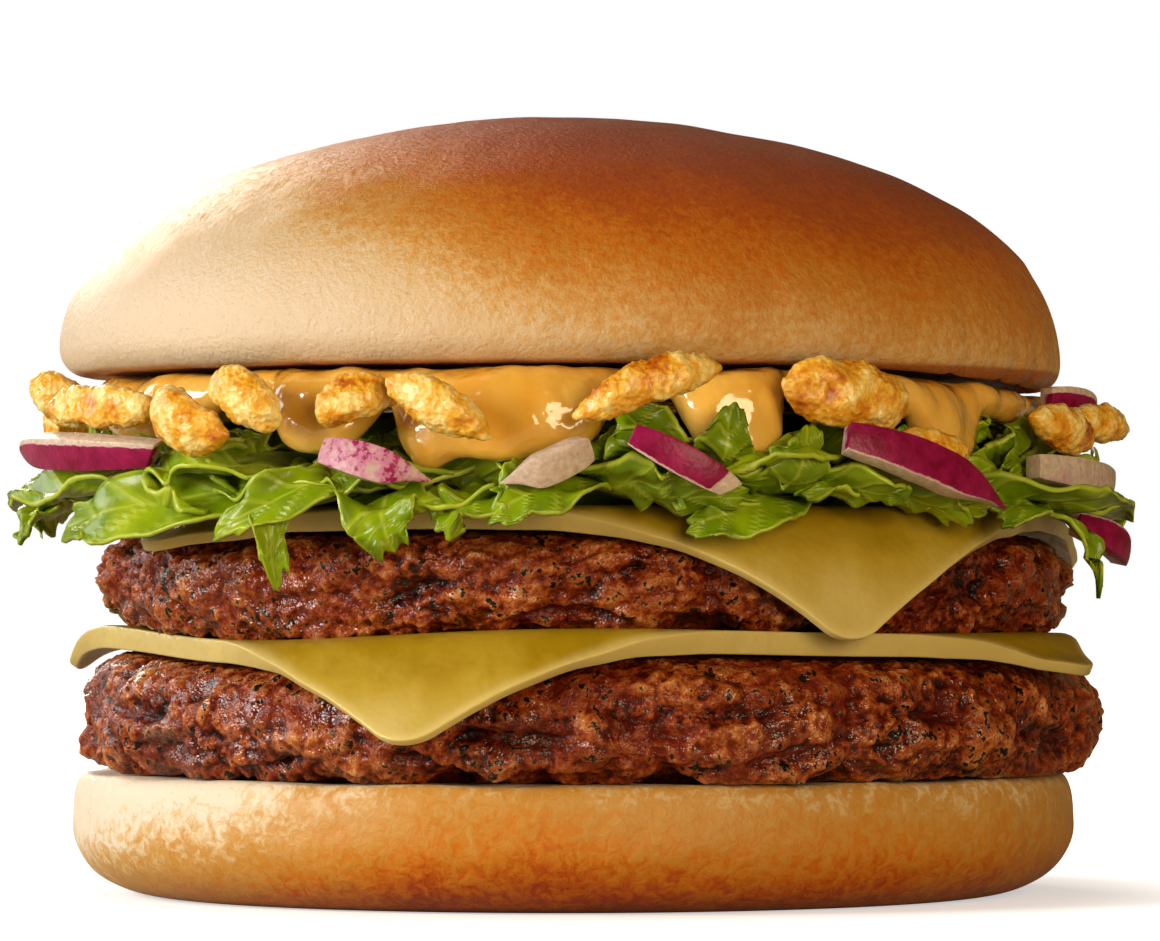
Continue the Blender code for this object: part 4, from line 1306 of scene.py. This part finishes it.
def leaf_mesh(piece, long_cells, wide_cells, spare=0.0):
    """A thin wavy leaf with frilled edges, a ragged tip and veins."""
    bm, lower, upper, measures = sheet(LEAF_MEASURES, long_cells, wide_cells)
    across, veined, painted_inner_shade, tint = measures
    sections = frames(piece, 32)
    seed = piece.seed * 7.3 + piece.way[1][0] * 0.37
    shade = 0.5 + 0.5 * noise.noise(Vector((seed, 1.7, 0.3)) * 3)
    thick = LEAF_THICK + spare
    for verts, lift in ((lower, -thick / 2), (upper, thick / 2)):
        for vert in verts:
            share = (vert.co.x + 1) / 2
            edge = vert.co.y
            torn = torn_tip(share, edge, seed)
            centre, wide, face = section_at(sections, share - torn)
            taper = 0.75 + 0.25 * smoothstep(0, 0.3, share) - 0.45 * smoothstep(0.55, 1, share)
            out = edge * taper * frill(share, edge, seed)
            cup = 0.10 * piece.width * (edge * edge - 0.4) * taper
            relief = piece.ruffle * leaf_wave(share, edge, seed) + cup
            vein = abs((share * 5 - abs(edge) * 0.9 + seed) % 1 - 0.5)
            vert[across] = abs(edge)
            vert[veined] = 1 - smoothstep(0.02, 0.2, vein)
            # Painted shade towards the root end, which lies under the layers above.
            vert[painted_inner_shade] = 1 - smoothstep(0.05, 0.5, share)
            vert[tint] = shade
            vert.co = (
                centre
                + wide * out * (piece.width * MM / 2 + spare)
                + face * (lift + relief * MM)
            )
    facing_out(bm)
    return bm


def moved(leaf, out, rise):
    """The leaf with all but its rooted end moved outward and upward by some millimetres."""
    root, *rest = leaf.way
    rest = [(angle, radius + out, height + rise) for angle, radius, height in rest]
    return leaf._replace(way=(root, *rest))


def nudges():
    """Small moves outward and upward in millimetres, the smallest first."""
    moves = [(out * 0.7, rise * 0.7) for out in range(-3, 4) for rise in range(-4, 5)]
    return sorted(moves, key=lambda move: math.hypot(*move))


def fitted(leaf, neighbours):
    """The leaf at the nearest place where it is clear of its neighbours, or None."""
    for out, rise in nudges():
        tried = moved(leaf, out, rise)
        probe = leaf_mesh(tried, 12, 4, spare=LEAF_CLEAR)
        crossing = BVHTree.FromBMesh(probe).overlap(neighbours)
        probe.free()
        if not crossing:
            return tried
    return None


def lettuce_core():
    """The pressed middle of the heap, painted dark as shade."""
    low, high = LETTUCE_Z - 0.3 * MM, LETTUCE_Z + 4.4 * MM
    edge = LETTUCE_RADIUS - 2 * MM
    profile = [(0, low), (edge - 1 * MM, low), (edge, low + 1 * MM), (edge, high - 1 * MM)]
    profile += [(edge - 2 * MM, high), (40 * MM, 47.6 * MM), (34 * MM, 49.2 * MM), (0, 49.8 * MM)]
    bm = turned(even(profile, 1.6 * MM), 200)
    for name in LEAF_MEASURES:
        bm.verts.layers.float.new(name)
    across, _, painted_inner_shade, _ = [bm.verts.layers.float[name] for name in LEAF_MEASURES]
    for vert in bm.verts:
        lump = 1.4 * noise.noise(vert.co / (5 * MM)) + 0.9 * noise.noise(vert.co / (2.2 * MM))
        lump *= smoothstep(30 * MM, 42 * MM, polar(vert.co)[1])
        vert.co.z = max(low, vert.co.z + lump * MM)
        vert[across] = 0.5
        # The core takes painted shade.
        vert[painted_inner_shade] = 0.9
    return bm


def all_fitted(leaves, neighbours):
    """The leaves at their nearest clear places. A leaf with no clear place is left out."""
    return [leaf for leaf in (fitted(leaf, neighbours) for leaf in leaves) if leaf]


def make_lettuce(neighbours):
    """The heap of torn leaves and shreds, each clear of the layers round it."""
    leaves = [*FRONT_LEAVES, *FILL_LEAVES, *leaves_behind()]
    leaves += shreds(26, 7, 40.8, 42.4) + shreds(30, 91, 42.4, 44.6)
    skin = leaf_finish()
    placed = all_fitted(leaves, neighbours)
    half = len(placed) // 2
    fronts = [leaf_mesh(leaf, 44, 14) for leaf in placed[:half]]
    rest = [leaf_mesh(leaf, 36, 12) for leaf in placed[half:]]
    standing = all_fitted(standing_leaves(LEAVES_STANDING, 200), neighbours)
    rest += [leaf_mesh(leaf, 24, 10) for leaf in standing]
    finish(joined(fronts), "lettuce_leaves", skin, ["lettuce"])
    finish(joined([lettuce_core(), *rest]), "lettuce_shreds", skin, ["lettuce"])


def tree_of(pieces):
    """One tree of the faces of several pieces."""
    points, polygons = [], []
    for piece in pieces:
        first = len(points)
        points += [vert.co.copy() for vert in piece.data.vertices]
        polygons += [[first + index for index in face.vertices] for face in piece.data.polygons]
    return BVHTree.FromPolygons(points, polygons)


# Studio

CAMERA_LENS = 199.0
CAMERA_SPOT = Vector((0.0009, -0.67, 0.0335))
CAMERA_AIM = Vector((0.0009, 0, 0.0439))


def paper_finish():
    """White paper that glows to full white away from the food, and throws little light back."""
    made = Finish("white_paper")
    tree = made.tree
    far = made.add("ShaderNodeVectorMath", operation="LENGTH")
    tree.links.new(made.place, far.inputs[0])
    white = made.span(far.outputs["Value"], 0.050, 0.078, 0.5, 1.0)
    seen = made.add("ShaderNodeLightPath").outputs["Is Camera Ray"]
    shown = made.blend(seen, (0.50, 0.43, 0.32, 1), (0.92, 0.92, 0.92, 1))
    made.set(Base_Color=shown, Roughness=0.9, Specular_IOR_Level=0.0)
    made.set(Emission_Color=(1, 1, 1, 1))
    made.set(Emission_Strength=made.math("MULTIPLY", white, seen))
    return made.material


def make_studio():
    """A table and backdrop that stay white, and a dim warm room that the food takes its light from."""
    bm = bmesh.new()
    bmesh.ops.create_grid(bm, x_segments=1, y_segments=1, size=6)
    mesh = bpy.data.meshes.new("table")
    bm.to_mesh(mesh)
    bm.free()
    table = bpy.data.objects.new("table", mesh)
    bpy.context.scene.collection.objects.link(table)
    mesh.materials.append(paper_finish())

    world = bpy.data.worlds.new("studio")
    bpy.context.scene.world = world
    world.use_nodes = True
    tree = world.node_tree
    output = tree.nodes["World Output"]
    room = tree.nodes["Background"]
    room.inputs["Color"].default_value = (1, 0.68, 0.32, 1)
    room.inputs["Strength"].default_value = 0.09
    backdrop = tree.nodes.new("ShaderNodeBackground")
    backdrop.inputs["Color"].default_value = (1, 1, 1, 1)
    seen = tree.nodes.new("ShaderNodeLightPath")
    mix = tree.nodes.new("ShaderNodeMixShader")
    tree.links.new(seen.outputs["Is Camera Ray"], mix.inputs["Fac"])
    tree.links.new(room.outputs["Background"], mix.inputs[1])
    tree.links.new(backdrop.outputs["Background"], mix.inputs[2])
    tree.links.new(mix.outputs["Shader"], output.inputs["Surface"])


def add_light(name, spot, aim, size, power, colour=(1, 1, 1)):
    """A square softbox at a spot, turned towards its aim. Lengths are metres."""
    data = bpy.data.lights.new(name, "AREA")
    data.shape = "SQUARE"
    data.size = size
    data.energy = power
    data.color = colour
    made = bpy.data.objects.new(name, data)
    bpy.context.scene.collection.objects.link(made)
    made.location = spot
    made.rotation_euler = (Vector(aim) - Vector(spot)).to_track_quat("-Z", "Y").to_euler()
    return made


def make_lights():
    """The key light from the left, a weak rim from behind and a warm fill from the front right."""
    middle = (0, 0, 0.045)
    add_light("key", (-0.74, -0.34, 0.25), middle, 0.38, 7.2, (1.0, 0.96, 0.90))
    add_light("back_left", (-0.56, 0.30, 0.24), middle, 0.34, 1.2)
    add_light("back_top", (-0.30, 0.88, 0.38), middle, 0.32, 3.2, (1.0, 0.88, 0.76))
    add_light("front", (0.36, -0.84, 0.20), middle, 0.45, 5.2, (1.0, 0.80, 0.52))


def make_camera():
    """The photo's view: a long lens, a little above the upper patty."""
    data = bpy.data.cameras.new("camera")
    data.lens = CAMERA_LENS
    data.sensor_width = 36.0
    data.clip_start = 0.01
    made = bpy.data.objects.new("camera", data)
    bpy.context.scene.collection.objects.link(made)
    made.location = CAMERA_SPOT
    made.rotation_euler = (CAMERA_AIM - CAMERA_SPOT).to_track_quat("-Z", "Y").to_euler()
    bpy.context.scene.camera = made


def main():
    bpy.context.scene.view_settings.view_transform = "Standard"
    make_camera()
    make_studio()
    make_lights()
    crown = make_crown()
    make_heel()
    noise.seed_set(MINCE_SEED)
    beef = beef_finish()
    patties = [make_beef(LOWER_PATTY, beef), make_beef(UPPER_PATTY, beef)]
    cheese = cheese_finish()
    slices = [make_slice(LOWER_SLICE, cheese), make_slice(UPPER_SLICE, cheese)]
    sauce = make_sauce()
    petals = make_petals()
    crisps = make_crisps()
    make_lettuce(tree_of([*patties, *slices, sauce, petals, crisps, crown]))


main()
